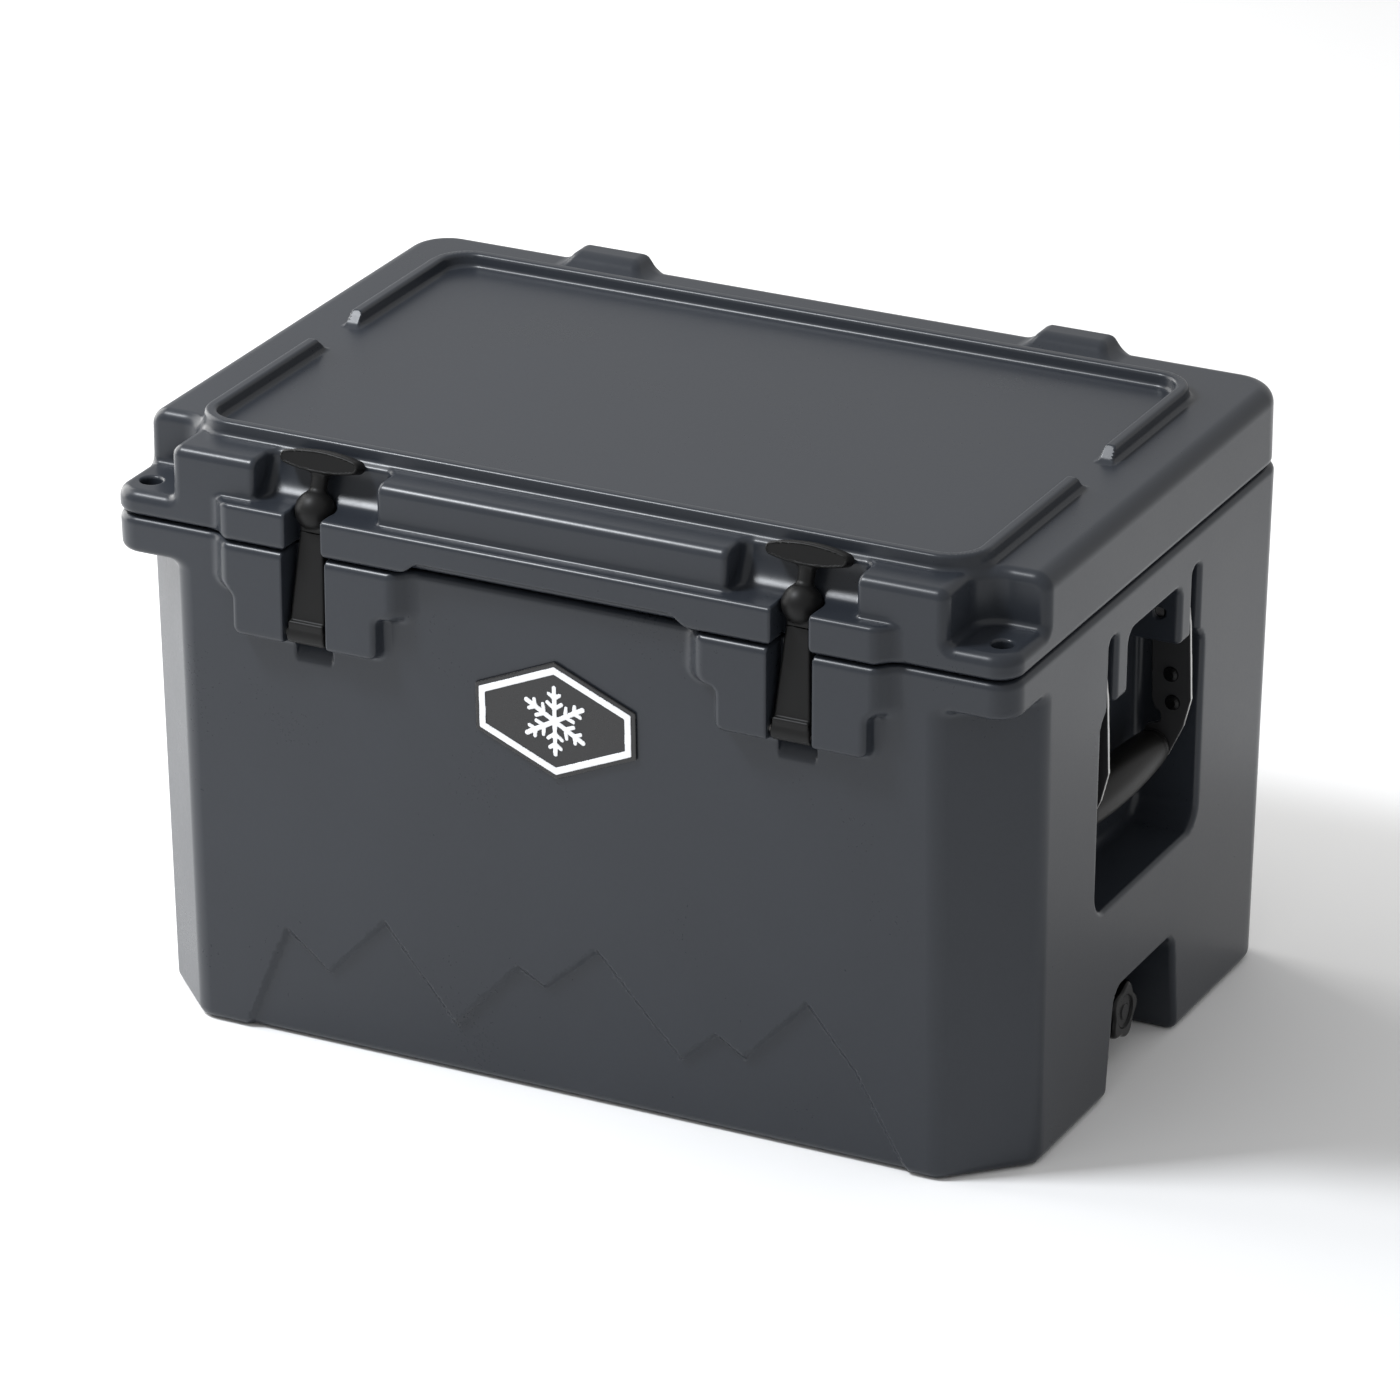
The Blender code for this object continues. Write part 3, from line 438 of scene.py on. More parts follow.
# ---- finishes -----------------------------------------------------------------------
class Wire:
    """A shader socket that takes part in ordinary arithmetic."""

    def __init__(self, graph: "Graph", socket: bpy.types.NodeSocket) -> None:
        """Keeps the graph and the socket."""
        self.graph = graph
        self.socket = socket

    def _math(self, operation: str, *values: "float | Wire") -> "Wire":
        """A Math node's result."""
        return self.graph.node("ShaderNodeMath", {"operation": operation}, *values)

    def __add__(self, other: "float | Wire") -> "Wire":
        """Sum."""
        return self._math("ADD", self, other)

    __radd__ = __add__

    def __mul__(self, other: "float | Wire") -> "Wire":
        """Product."""
        return self._math("MULTIPLY", self, other)

    __rmul__ = __mul__

    def __sub__(self, other: "float | Wire") -> "Wire":
        """Difference."""
        return self._math("SUBTRACT", self, other)

    def __rsub__(self, other: "float | Wire") -> "Wire":
        """Difference, with this socket taken away."""
        return self._math("SUBTRACT", other, self)

    def ramp(self, low: float, high: float) -> "Wire":
        """0 below low, 1 above high, level at both ends.

        Args:
            low: Where the ramp starts.
            high: Where it ends.

        Returns:
            The ramp's value.
        """
        return self.graph.node(
            "ShaderNodeMapRange", {"interpolation_type": "SMOOTHSTEP"}, self, low, high, 0.0, 1.0
        )

    def size(self) -> "Wire":
        """The value without its sign."""
        return self._math("ABSOLUTE", self)


class Graph:
    """One material's nodes."""

    def __init__(self, name: str) -> None:
        """Makes the material with only its output and its surface shader.

        Args:
            name: The material's name.
        """
        self.material = bpy.data.materials.new(name)
        self.material.use_nodes = True
        self.nodes = self.material.node_tree.nodes
        self.links = self.material.node_tree.links
        self.surface = self.nodes["Principled BSDF"]

    def node(self, kind: str, settings: dict, *values: object, output: int = 0) -> Wire:
        """Adds a node.

        Args:
            kind: The node's type.
            settings: The node's own settings, set before its sockets.
            values: Numbers, colours or wires for its first sockets, None to skip one.
            output: Which of its outputs is wanted.

        Returns:
            The wanted output.
        """
        made = self.nodes.new(kind)
        for key, value in settings.items():
            setattr(made, key, value)
        for socket, value in zip(made.inputs, values):
            if isinstance(value, Wire):
                self.links.new(value.socket, socket)
            elif value is not None:
                socket.default_value = value
        return Wire(self, made.outputs[output])

    def place(self, stretch: tuple[float, float, float] = (1.0, 1.0, 1.0)) -> Wire:
        """Object coordinates, stretched along each axis."""
        spot = self.node("ShaderNodeTexCoord", {}, output=3)
        return self.node("ShaderNodeMapping", {}, spot, None, None, stretch)

    def axis(self, which: int) -> Wire:
        """One of the three object coordinates."""
        spot = self.node("ShaderNodeTexCoord", {}, output=3)
        return self.node("ShaderNodeSeparateXYZ", {}, spot, output=which)

    def noise(self, where: Wire, scale: float, detail: float = 3.0) -> Wire:
        """Soft noise round 0.5."""
        return self.node("ShaderNodeTexNoise", {}, where, None, scale, detail, 0.55)

    def grains(self, where: Wire, scale: float) -> Wire:
        """Distance to the nearest of scattered grains."""
        return self.node("ShaderNodeTexVoronoi", {}, where, None, scale)

    def attribute(self, name: str) -> Wire:
        """A number stored on the mesh."""
        return self.node("ShaderNodeAttribute", {"attribute_name": name}, output=2)

    def mix(self, share: Wire, first: tuple, second: tuple) -> Wire:
        """A colour between two, by share.

        Args:
            share: How much of the second colour is in it.
            first: The colour at 0.
            second: The colour at 1.

        Returns:
            The colour.
        """
        made = self.nodes.new("ShaderNodeMix")
        made.data_type = "RGBA"
        self.links.new(share.socket, made.inputs[0])
        made.inputs[6].default_value = (*first, 1.0)
        made.inputs[7].default_value = (*second, 1.0)
        return Wire(self, made.outputs[2])

    def bump(self, height: Wire, depth: float, strength: float) -> Wire:
        """A normal tilted by a height.

        Args:
            height: The height.
            depth: What a height of 1 stands for, in metres.
            strength: How much of the tilt is used.

        Returns:
            The tilted normal.
        """
        skipped = [None] if bump_has_filter() else []
        return self.node("ShaderNodeBump", {}, strength, depth, *skipped, height)

    def set(self, **sockets: object) -> None:
        """Sets or links the surface shader's sockets, named with _ for each space.

        Args:
            sockets: Numbers, colours or wires by socket name.
        """
        for name, value in sockets.items():
            socket = self.surface.inputs[name.replace("_", " ")]
            if isinstance(value, Wire):
                self.links.new(value.socket, socket)
            else:
                socket.default_value = value


def bump_has_filter() -> bool:
    """Whether the bump node has a filter width before its height.

    Returns:
        True where the filter width comes before the height.
    """
    probe = bpy.data.materials.new("probe")
    probe.use_nodes = True
    names = [s.name for s in probe.node_tree.nodes.new("ShaderNodeBump").inputs]
    bpy.data.materials.remove(probe)
    return names[2] != "Height"


def shade(colour: tuple, factor: float) -> tuple:
    """A colour made lighter or darker."""
    return tuple(min(1.0, c * factor) for c in colour)


@dataclass(frozen=True)
class Moulded:
    """Plastic or rubber from a mould, with its grain and the rub marks on its edges."""

    name: str
    slot: str
    colour: tuple[float, float, float]
    roughness: float = 0.5
    grain: float = 1100.0
    grain_depth: float = 6.0e-5
    grain_strength: float = 0.22
    specular: float = 0.4
    wear: float = 0.5

    def make(self) -> bpy.types.Material:
        """Builds the material.

        Returns:
            The material: cloudy colour over a fine grain, paler where edges are rubbed.
        """
        g = Graph(self.name)
        where = g.place()
        cloud = g.noise(where, 9.0, 4.0)
        speck = g.noise(where, self.grain * 0.35, 2.0)
        rubbed = g.attribute("edge").ramp(0.12, 0.75) * g.noise(where, 60.0).ramp(0.35, 0.75)
        tone = cloud.ramp(0.25, 0.75) * 0.55 + speck.ramp(0.3, 0.7) * 0.30 + rubbed * self.wear
        g.set(Base_Color=g.mix(tone, shade(self.colour, 0.93), shade(self.colour, 1.10)))
        g.set(Roughness=self.roughness + (cloud - 0.5) * 0.10 + (speck - 0.5) * 0.08)
        height = g.grains(where, self.grain) * 0.5 + g.noise(where, self.grain * 1.7, 2.0)
        g.set(Normal=g.bump(height, self.grain_depth, self.grain_strength))
        g.surface.inputs["Specular IOR Level"].default_value = self.specular
        return g.material


@dataclass(frozen=True)
class Steel:
    """Bare steel with brush lines along one axis."""

    name: str
    slot: str
    colour: tuple[float, float, float] = (0.56, 0.55, 0.53)
    roughness: float = 0.30
    stretch: tuple[float, float, float] = (60.0, 2600.0, 2600.0)

    def make(self) -> bpy.types.Material:
        """Builds the material: long thin lines in colour, roughness and height.

        Returns:
            The material.
        """
        g = Graph(self.name)
        lines = g.noise(g.place(self.stretch), 1.0, 3.0)
        stain = g.noise(g.place(), 45.0, 3.0)
        g.set(Base_Color=g.mix(lines * 0.6 + stain * 0.4, shade(self.colour, 0.85), shade(self.colour, 1.08)))
        g.set(Roughness=self.roughness + (lines - 0.5) * 0.14, Metallic=1.0)
        g.set(Normal=g.bump(lines, 2.0e-5, 0.25))
        return g.material


@dataclass(frozen=True)
class CoatedPlate:
    """Black coated sheet steel whose cut edge is bare."""

    name: str
    slot: str
    middle: float
    half: float
    coat: tuple[float, float, float] = (0.016, 0.016, 0.017)
    metal: tuple[float, float, float] = (0.50, 0.50, 0.49)

    def make(self) -> bpy.types.Material:
        """Builds the material: bare metal where a point lies between the sheet's two faces.

        Returns:
            The material.
        """
        g = Graph(self.name)
        where = g.place()
        speck = g.noise(where, 900.0, 2.0)
        depth = (g.axis(1) - self.middle).size()
        bare = 1.0 - depth.ramp(self.half - 0.0006, self.half - 0.0003)
        g.set(Base_Color=g.mix(bare, self.coat, self.metal))
        g.set(Roughness=0.46 - bare * 0.12 + (speck - 0.5) * 0.10, Metallic=bare)
        g.set(Normal=g.bump(speck, 3.0e-5, 0.3))
        return g.material


@dataclass(frozen=True)
class Foam:
    """Closed-cell foam."""

    name: str
    slot: str
    colour: tuple[float, float, float] = (0.80, 0.73, 0.52)

    def make(self) -> bpy.types.Material:
        """Builds the material: small cells in colour and height.

        Returns:
            The material.
        """
        g = Graph(self.name)
        cells = g.grains(g.place(), 700.0)
        g.set(Base_Color=g.mix(cells.ramp(0.1, 0.8), shade(self.colour, 0.82), self.colour))
        g.set(Roughness=0.92, Normal=g.bump(cells, 3.0e-4, 0.5))
        return g.material


@dataclass(frozen=True)
class Print:
    """Glossy enamel or print with a faint ripple."""

    name: str
    slot: str
    colour: tuple[float, float, float]
    roughness: float = 0.28

    def make(self) -> bpy.types.Material:
        """Builds the material: a nearly even colour under a clear gloss.

        Returns:
            The material.
        """
        g = Graph(self.name)
        where = g.place()
        ripple = g.noise(where, 220.0, 2.0)
        g.set(Base_Color=g.mix(g.noise(where, 30.0), shade(self.colour, 0.95), self.colour))
        g.set(Roughness=self.roughness + (ripple - 0.5) * 0.08)
        g.set(Normal=g.bump(ripple, 2.0e-5, 0.2))
        return g.material


SHELL_FINISH = Moulded(
    "charcoal_shell", "rotomolded_shell", (0.0215, 0.0250, 0.0315),
    roughness=0.30, grain=1000.0, grain_depth=4.0e-5, grain_strength=0.12, specular=0.34,
)
LINER_FINISH = Moulded(
    "charcoal_liner", "liner_plastic", (0.031, 0.034, 0.040),
    roughness=0.36, grain=1300.0, grain_depth=3.0e-5,
)
RUBBER_FINISH = Moulded(
    "latch_rubber", "latch_rubber", (0.0058, 0.0058, 0.0058),
    roughness=0.46, grain=1800.0, grain_depth=3.0e-5, grain_strength=0.15, specular=0.22,
)
SEAL_FINISH = Moulded(
    "seal_rubber", "gasket_rubber", (0.018, 0.018, 0.019),
    roughness=0.62, grain=1500.0, grain_depth=3.0e-5, grain_strength=0.2, specular=0.35, wear=0.0,
)
KNOB_FINISH = Moulded(
    "knob_plastic", "black_plastic", (0.0030, 0.0030, 0.0032),
    roughness=0.24, grain=1500.0, grain_depth=2.0e-5, grain_strength=0.08, specular=0.20,
)
GRIP_FINISH = Moulded(
    "grip_plastic", "grip_plastic", (0.0060, 0.0057, 0.0054),
    roughness=0.40, grain=1300.0, grain_depth=4.0e-5, grain_strength=0.2, specular=0.24,
)
PIN_FINISH = Steel("pin_steel", "pin_steel")
ROD_FINISH = Steel("rod_steel", "pin_steel", stretch=(2600.0, 60.0, 2600.0))
FOAM_FINISH = Foam("foam", "insulating_foam")
ENAMEL_FINISH = Print("badge_enamel", "badge_black", (0.008, 0.008, 0.009))
WHITE_FINISH = Print("badge_white", "badge_white", (0.84, 0.85, 0.87), 0.34)


class Wardrobe:
    """Makes each finish once and puts it on pieces and on frame nodes."""

    def __init__(self) -> None:
        """Starts with no material made."""
        self.made: dict[str, bpy.types.Material] = {}

    def of(self, finish: object) -> bpy.types.Material:
        """The finish's material, made when first asked for.

        Args:
            finish: The finish.

        Returns:
            Its material.
        """
        if finish.name not in self.made:
            self.made[finish.name] = finish.make()
        return self.made[finish.name]

    def dress(self, piece: bpy.types.Object, finish: object) -> bpy.types.Object:
        """Gives a new piece its finish.

        Args:
            piece: The new piece.
            finish: Its finish.

        Returns:
            The same piece.
        """
        piece.data.materials.clear()
        piece.data.materials.append(self.of(finish))
        return piece

    def dress_node(self, name: str, finish: object) -> None:
        """Gives a node of the frame a better finish."""
        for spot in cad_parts[name].material_slots:
            spot.material = self.of(finish)


# ---- the cooler ---------------------------------------------------------------------
@dataclass(frozen=True)
class Plan:
    """Sizes that more than one sub-assembly uses, in metres."""

    half_width: float = 0.355
    front: float = -0.2345
    back: float = 0.2465
    proud: float = -0.2466
    proud_root: float = -0.215
    tub_top: float = 0.394
    lid_bottom: float = 0.3955
    boss_outer: float = 0.2558
    latch_x: float = 0.1912
    ball_y: float = -0.2265
    ball_z: float = 0.4235
    ball_rise: float = 0.0125
    hinge_x: float = 0.1915
    hinge_y: float = 0.2375
    hinge_z: float = 0.3795
    tie_x: float = 0.335
    tie_y: float = -0.209
    tie_radius: float = 0.0078
    handle_y: float = 0.0115
    arm_offset: float = 0.0735
    pivot_x: float = 0.337
    pivot_z: float = 0.337
    pin_bore: float = 0.0043
    drain_y: float = 0.0145
    drain_z: float = 0.040
    rim_y: float = 0.004
    cavity_y: float = 0.003

    def tie_hole(self, a: Array, y: Array) -> Array:
        """Distance to the upright hole through the front corner tabs."""
        return np.hypot(a - self.tie_x, y - self.tie_y) - self.tie_radius


PLAN = Plan()


@dataclass
class Tub:
    """The lower moulding: tapered body, rim, latch bosses, hand recesses and drain notch."""

    wardrobe: Wardrobe
    base_front: float = -0.2215
    front_lean: float = -0.0330
    base_side: float = 0.3505
    side_lean: float = 0.0114
    base_back: float = 0.2365
    back_lean: float = 0.0254
    chamfer_start: float = 0.2975
    rim_low: float = 0.3655
    upper_boss: tuple[float, float, float] = (0.1884, 0.0674, 0.3575)
    lower_boss: tuple[float, float, float] = (0.1918, 0.0573, 0.3253)
    boss_slope: float = 0.20
    boss_flare: float = 0.80
    pocket_wall: float = -0.222
    pocket_half: float = 0.0172
    pocket_narrowing: float = 0.0026
    pocket_foot: float = 0.3235
    pocket_slope: float = 0.62
    pocket_end: float = 0.302
    recess_wall: float = 0.302
    recess_half: float = 0.0905
    recess_foot: float = 0.156
    recess_top: float = 0.314
    opening_half: float = 0.046
    opening_top: float = 0.360
    slot_half: float = 0.0065
    slot_top: float = 0.366
    hinge_half: float = 0.031
    hinge_front: float = 0.227
    hinge_foot: float = 0.369
    notch_half: float = 0.062
    notch_taper: float = 0.122
    notch_top: float = 0.082
    notch_wall: float = 0.306
    neck: tuple[float, float] = (0.318, 0.204)
    neck_foot: float = 0.3860
    room: tuple[float, float] = (0.292, 0.182)
    room_floor: float = 0.040
    cavity: tuple[float, float] = (0.285, 0.175)
    cavity_lean: float = 0.028
    cavity_floor: float = 0.048
    inner_corner: float = 0.030
    sump_x: float = 0.250
    relief_depth: float = 0.0039
    relief_fade: float = 0.0038
    ridge: tuple = (
        (-0.262, -0.050), (-0.262, -0.004), (-0.223, 0.088), (-0.190, 0.060), (-0.142, 0.110),
        (-0.086, 0.040), (-0.034, 0.098), (-0.012, 0.086), (0.030, 0.124), (0.096, 0.052), (0.124, 0.078),
        (0.146, 0.064), (0.196, 0.118), (0.232, 0.074), (0.276, -0.004), (0.276, -0.050),
    )

    def face(self, z: Array) -> Array:
        """Where the leaning front face stands at height z."""
        return self.base_front + self.front_lean * z

    def walls(self, x: Array, y: Array, z: Array) -> Array:
        """Distance to the body: leaning walls, chamfered front corners, square rim above.

        Args:
            x: Across.
            y: Front to back.
            z: Up.

        Returns:
            Distance to the body with the sunk ridge line on its front.
        """
        a = np.abs(x)
        share = np.clip(0.5 - outline_distance(x, z, self.ridge) / self.relief_fade, 0.0, 1.0)
        sunk = self.relief_depth * share
        face = self.face(z)
        side = a - (self.base_side + self.side_lean * z)
        back = y - (self.base_back + self.back_lean * z)
        block = meet(meet(side, face + sunk - y, 0.020), back, 0.028)
        chamfer = ((a - self.chamfer_start) - (y - face)) * math.sqrt(0.5)
        wedge = meet(-chamfer, z - self.rim_low, 0.007)
        block = carve(block, wedge, 0.006)
        return meet(block, -z, 0.008)

    def bosses(self, a: Array, y: Array, z: Array) -> Array:
        """Distance to the stepped blocks that stand proud at each side of a latch.

        Args:
            a: Distance from the middle plane.
            y: Front to back.
            z: Up.

        Returns:
            Signed distance.
        """
        depth = y - PLAN.proud
        middle, half, foot = self.upper_boss
        upper = meet(np.abs(a - middle) - half - self.boss_flare * depth, foot - z, 0.009)
        middle, half, foot = self.lower_boss
        lower = meet(np.abs(a - middle) - half, foot - z, 0.006)
        stepped = merge(upper, np.maximum(lower, z - 0.385), 0.007)
        block = meet((stepped - self.boss_slope * depth) * 0.9, -depth, 0.0034)
        return np.maximum(block, y - PLAN.proud_root)

    def latch_pocket(self, a: Array, y: Array, z: Array) -> Array:
        """Distance to the slot for a latch strap, which slopes out at its foot.

        Args:
            a: Distance from the middle plane.
            y: Front to back.
            z: Up.

        Returns:
            Signed distance.
        """
        below = np.maximum(self.pocket_foot - z, 0.0)
        back = self.pocket_wall - self.pocket_slope * below
        half = self.pocket_half - self.pocket_narrowing * smooth_step(below, 0.0, 0.0012)
        slot = meet(np.abs(a - PLAN.latch_x) - half, (y - back) * 0.85, 0.002)
        return np.maximum(slot, self.pocket_end - z)

    def hand_recess(self, a: Array, y: Array, z: Array) -> Array:
        """Distance to the recess for a handle: low pocket, middle opening and arm slots.

        Args:
            a: Distance from the middle plane.
            y: Front to back.
            z: Up.

        Returns:
            Signed distance.
        """
        b = np.abs(y - PLAN.handle_y)
        low = meet(meet(b - self.recess_half, self.recess_foot - z, 0.018), z - self.recess_top, 0.003)
        low = meet(low, (b + z - 0.3945) * math.sqrt(0.5), 0.002)
        middle = meet(b - self.opening_half, z - self.opening_top, 0.010)
        slots = meet(np.abs(b - PLAN.arm_offset) - self.slot_half, z - self.slot_top, 0.005)
        foot = 0.300 - z
        outline = merge(merge(low, np.maximum(middle, foot), 0.004), np.maximum(slots, foot), 0.003)
        return meet(outline, self.recess_wall - a, 0.007)

    def outside(self, x: Array, y: Array, z: Array) -> Array:
        """Distance to the tub's outer moulding.

        Args:
            x: Across.
            y: Front to back.
            z: Up.

        Returns:
            Signed distance.
        """
        a = np.abs(x)
        shape = merge(self.walls(x, y, z), self.bosses(a, y, z), 0.004)
        shape = meet(shape, z - PLAN.tub_top, 0.0055)
        shape = carve(shape, self.latch_pocket(a, y, z), 0.0016)
        shape = carve(shape, self.hand_recess(a, y, z), 0.0042)
        round_bore = np.hypot(a - PLAN.pivot_x, z - PLAN.pivot_z) - PLAN.pin_bore
        bore = np.maximum(round_bore, np.abs(np.abs(y - PLAN.handle_y) - 0.066) - 0.026)
        shape = carve(shape, bore, 0.0006)
        shape = carve(shape, PLAN.tie_hole(a, y), 0.0022)
        hinge = meet(np.abs(a - PLAN.hinge_x) - self.hinge_half, self.hinge_front - y, 0.003)
        shape = carve(shape, meet(hinge, self.hinge_foot - z, 0.003), 0.0015)
        half = self.notch_half - self.notch_taper * z
        notch = meet(np.abs(y - PLAN.drain_y) - half, z - self.notch_top, 0.012)
        shape = carve(shape, meet(notch, self.notch_wall - x, 0.004), 0.0042)
        drain = np.maximum(np.hypot(y - PLAN.drain_y, z - PLAN.drain_z) - 0.0128, 0.270 - x)
        shape = carve(shape, drain, 0.0008)
        neck = meet(a - self.neck[0], np.abs(y - PLAN.rim_y) - self.neck[1], self.inner_corner)
        shape = carve(shape, meet(neck, self.neck_foot - z), 0.0012)
        room = meet(a - self.room[0], np.abs(y - PLAN.cavity_y) - self.room[1], self.inner_corner)
        return carve(shape, meet(room, self.room_floor - z, 0.020))

    def inside(self, x: Array, y: Array, z: Array) -> Array:
        """Distance to the tub's inner skin: flange, deep cavity, sump and drain hole.

        Args:
            x: Across.
            y: Front to back.
            z: Up.

        Returns:
            Signed distance.
        """
        a = np.abs(x)
        flange = meet(a - 0.3176, np.abs(y - PLAN.rim_y) - 0.2036, 0.030)
        flange = meet(flange, z - PLAN.tub_top, 0.0015)
        flange = np.maximum(flange, 0.3862 - z)
        pan = meet(meet(a - 0.2905, np.abs(y - PLAN.cavity_y) - 0.1805, 0.030), 0.0425 - z, 0.016)
        shape = np.minimum(flange, np.maximum(pan, z - 0.390))
        sump = np.maximum(np.abs(x - self.sump_x) - 0.0225, np.abs(y - PLAN.drain_y) - 0.0245)
        shape = np.minimum(shape, np.maximum(sump, between(z, 0.0235, 0.050)))
        lean = self.cavity_lean * (PLAN.tub_top - z)
        across, deep = a - self.cavity[0] + lean, np.abs(y - PLAN.cavity_y) - self.cavity[1] + lean
        cavity = meet(meet(across, deep, self.inner_corner), self.cavity_floor - z, 0.018)
        shape = carve(shape, cavity, 0.006)
        pit = meet(np.abs(x - self.sump_x) - 0.018, np.abs(y - PLAN.drain_y) - 0.020, 0.005)
        shape = carve(shape, meet(pit, 0.0275 - z, 0.004), 0.004)
        round_hole = np.hypot(y - PLAN.drain_y, z - PLAN.drain_z) - 0.0100
        drain = np.maximum(round_hole, between(x, 0.255, 0.300))
        return carve(shape, drain, 0.001)

    def build(self) -> None:
        """Builds and dresses both skins of the tub."""
        across = ruling(-0.358, 0.358, 0.0034, mirrored([
            (0.104, 0.144, 0.0024), (0.168, 0.214, 0.0019), (0.240, 0.276, 0.0024), (0.292, 0.358, 0.0024),
        ]))
        deep = ruling(-0.250, 0.250, 0.0065, [
            (-0.250, -0.196, 0.0020), (-0.196, -0.160, 0.0030), (-0.086, -0.030, 0.0024),
            (0.053, 0.108, 0.0024), (0.216, 0.250, 0.0026),
        ])
        up = ruling(-0.003, 0.398, 0.0055, [
            (-0.003, 0.012, 0.0024), (0.012, 0.128, 0.0026), (0.150, 0.178, 0.0028), (0.298, 0.398, 0.0021),
        ])
        shell = solid("tub_moulding", self.outside, (across, deep, up))
        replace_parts(self.wardrobe.dress(shell, SHELL_FINISH), "tub_shell")
        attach(shell, "tub")
        across = ruling(-0.321, 0.321, 0.009, mirrored([(0.222, 0.321, 0.0035)]))
        deep = ruling(-0.203, 0.211, 0.009, [
            (-0.203, -0.140, 0.0035), (-0.012, 0.042, 0.0030), (0.145, 0.211, 0.0035),
        ])
        up = ruling(0.020, 0.397, 0.012, [(0.020, 0.074, 0.0028), (0.380, 0.397, 0.0016)])
        liner = solid("tub_inner_skin", self.inside, (across, deep, up))
        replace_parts(self.wardrobe.dress(liner, LINER_FINISH), "tub_liner")
        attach(liner, "tub")
        self.wardrobe.dress_node("tub_foam", FOAM_FINISH)
        for side in Side:
            self.wardrobe.dress_node(f"hinge_pin_{side.label}", PIN_FINISH)
            self.wardrobe.dress_node(f"latch_pin_{side.label}", PIN_FINISH)


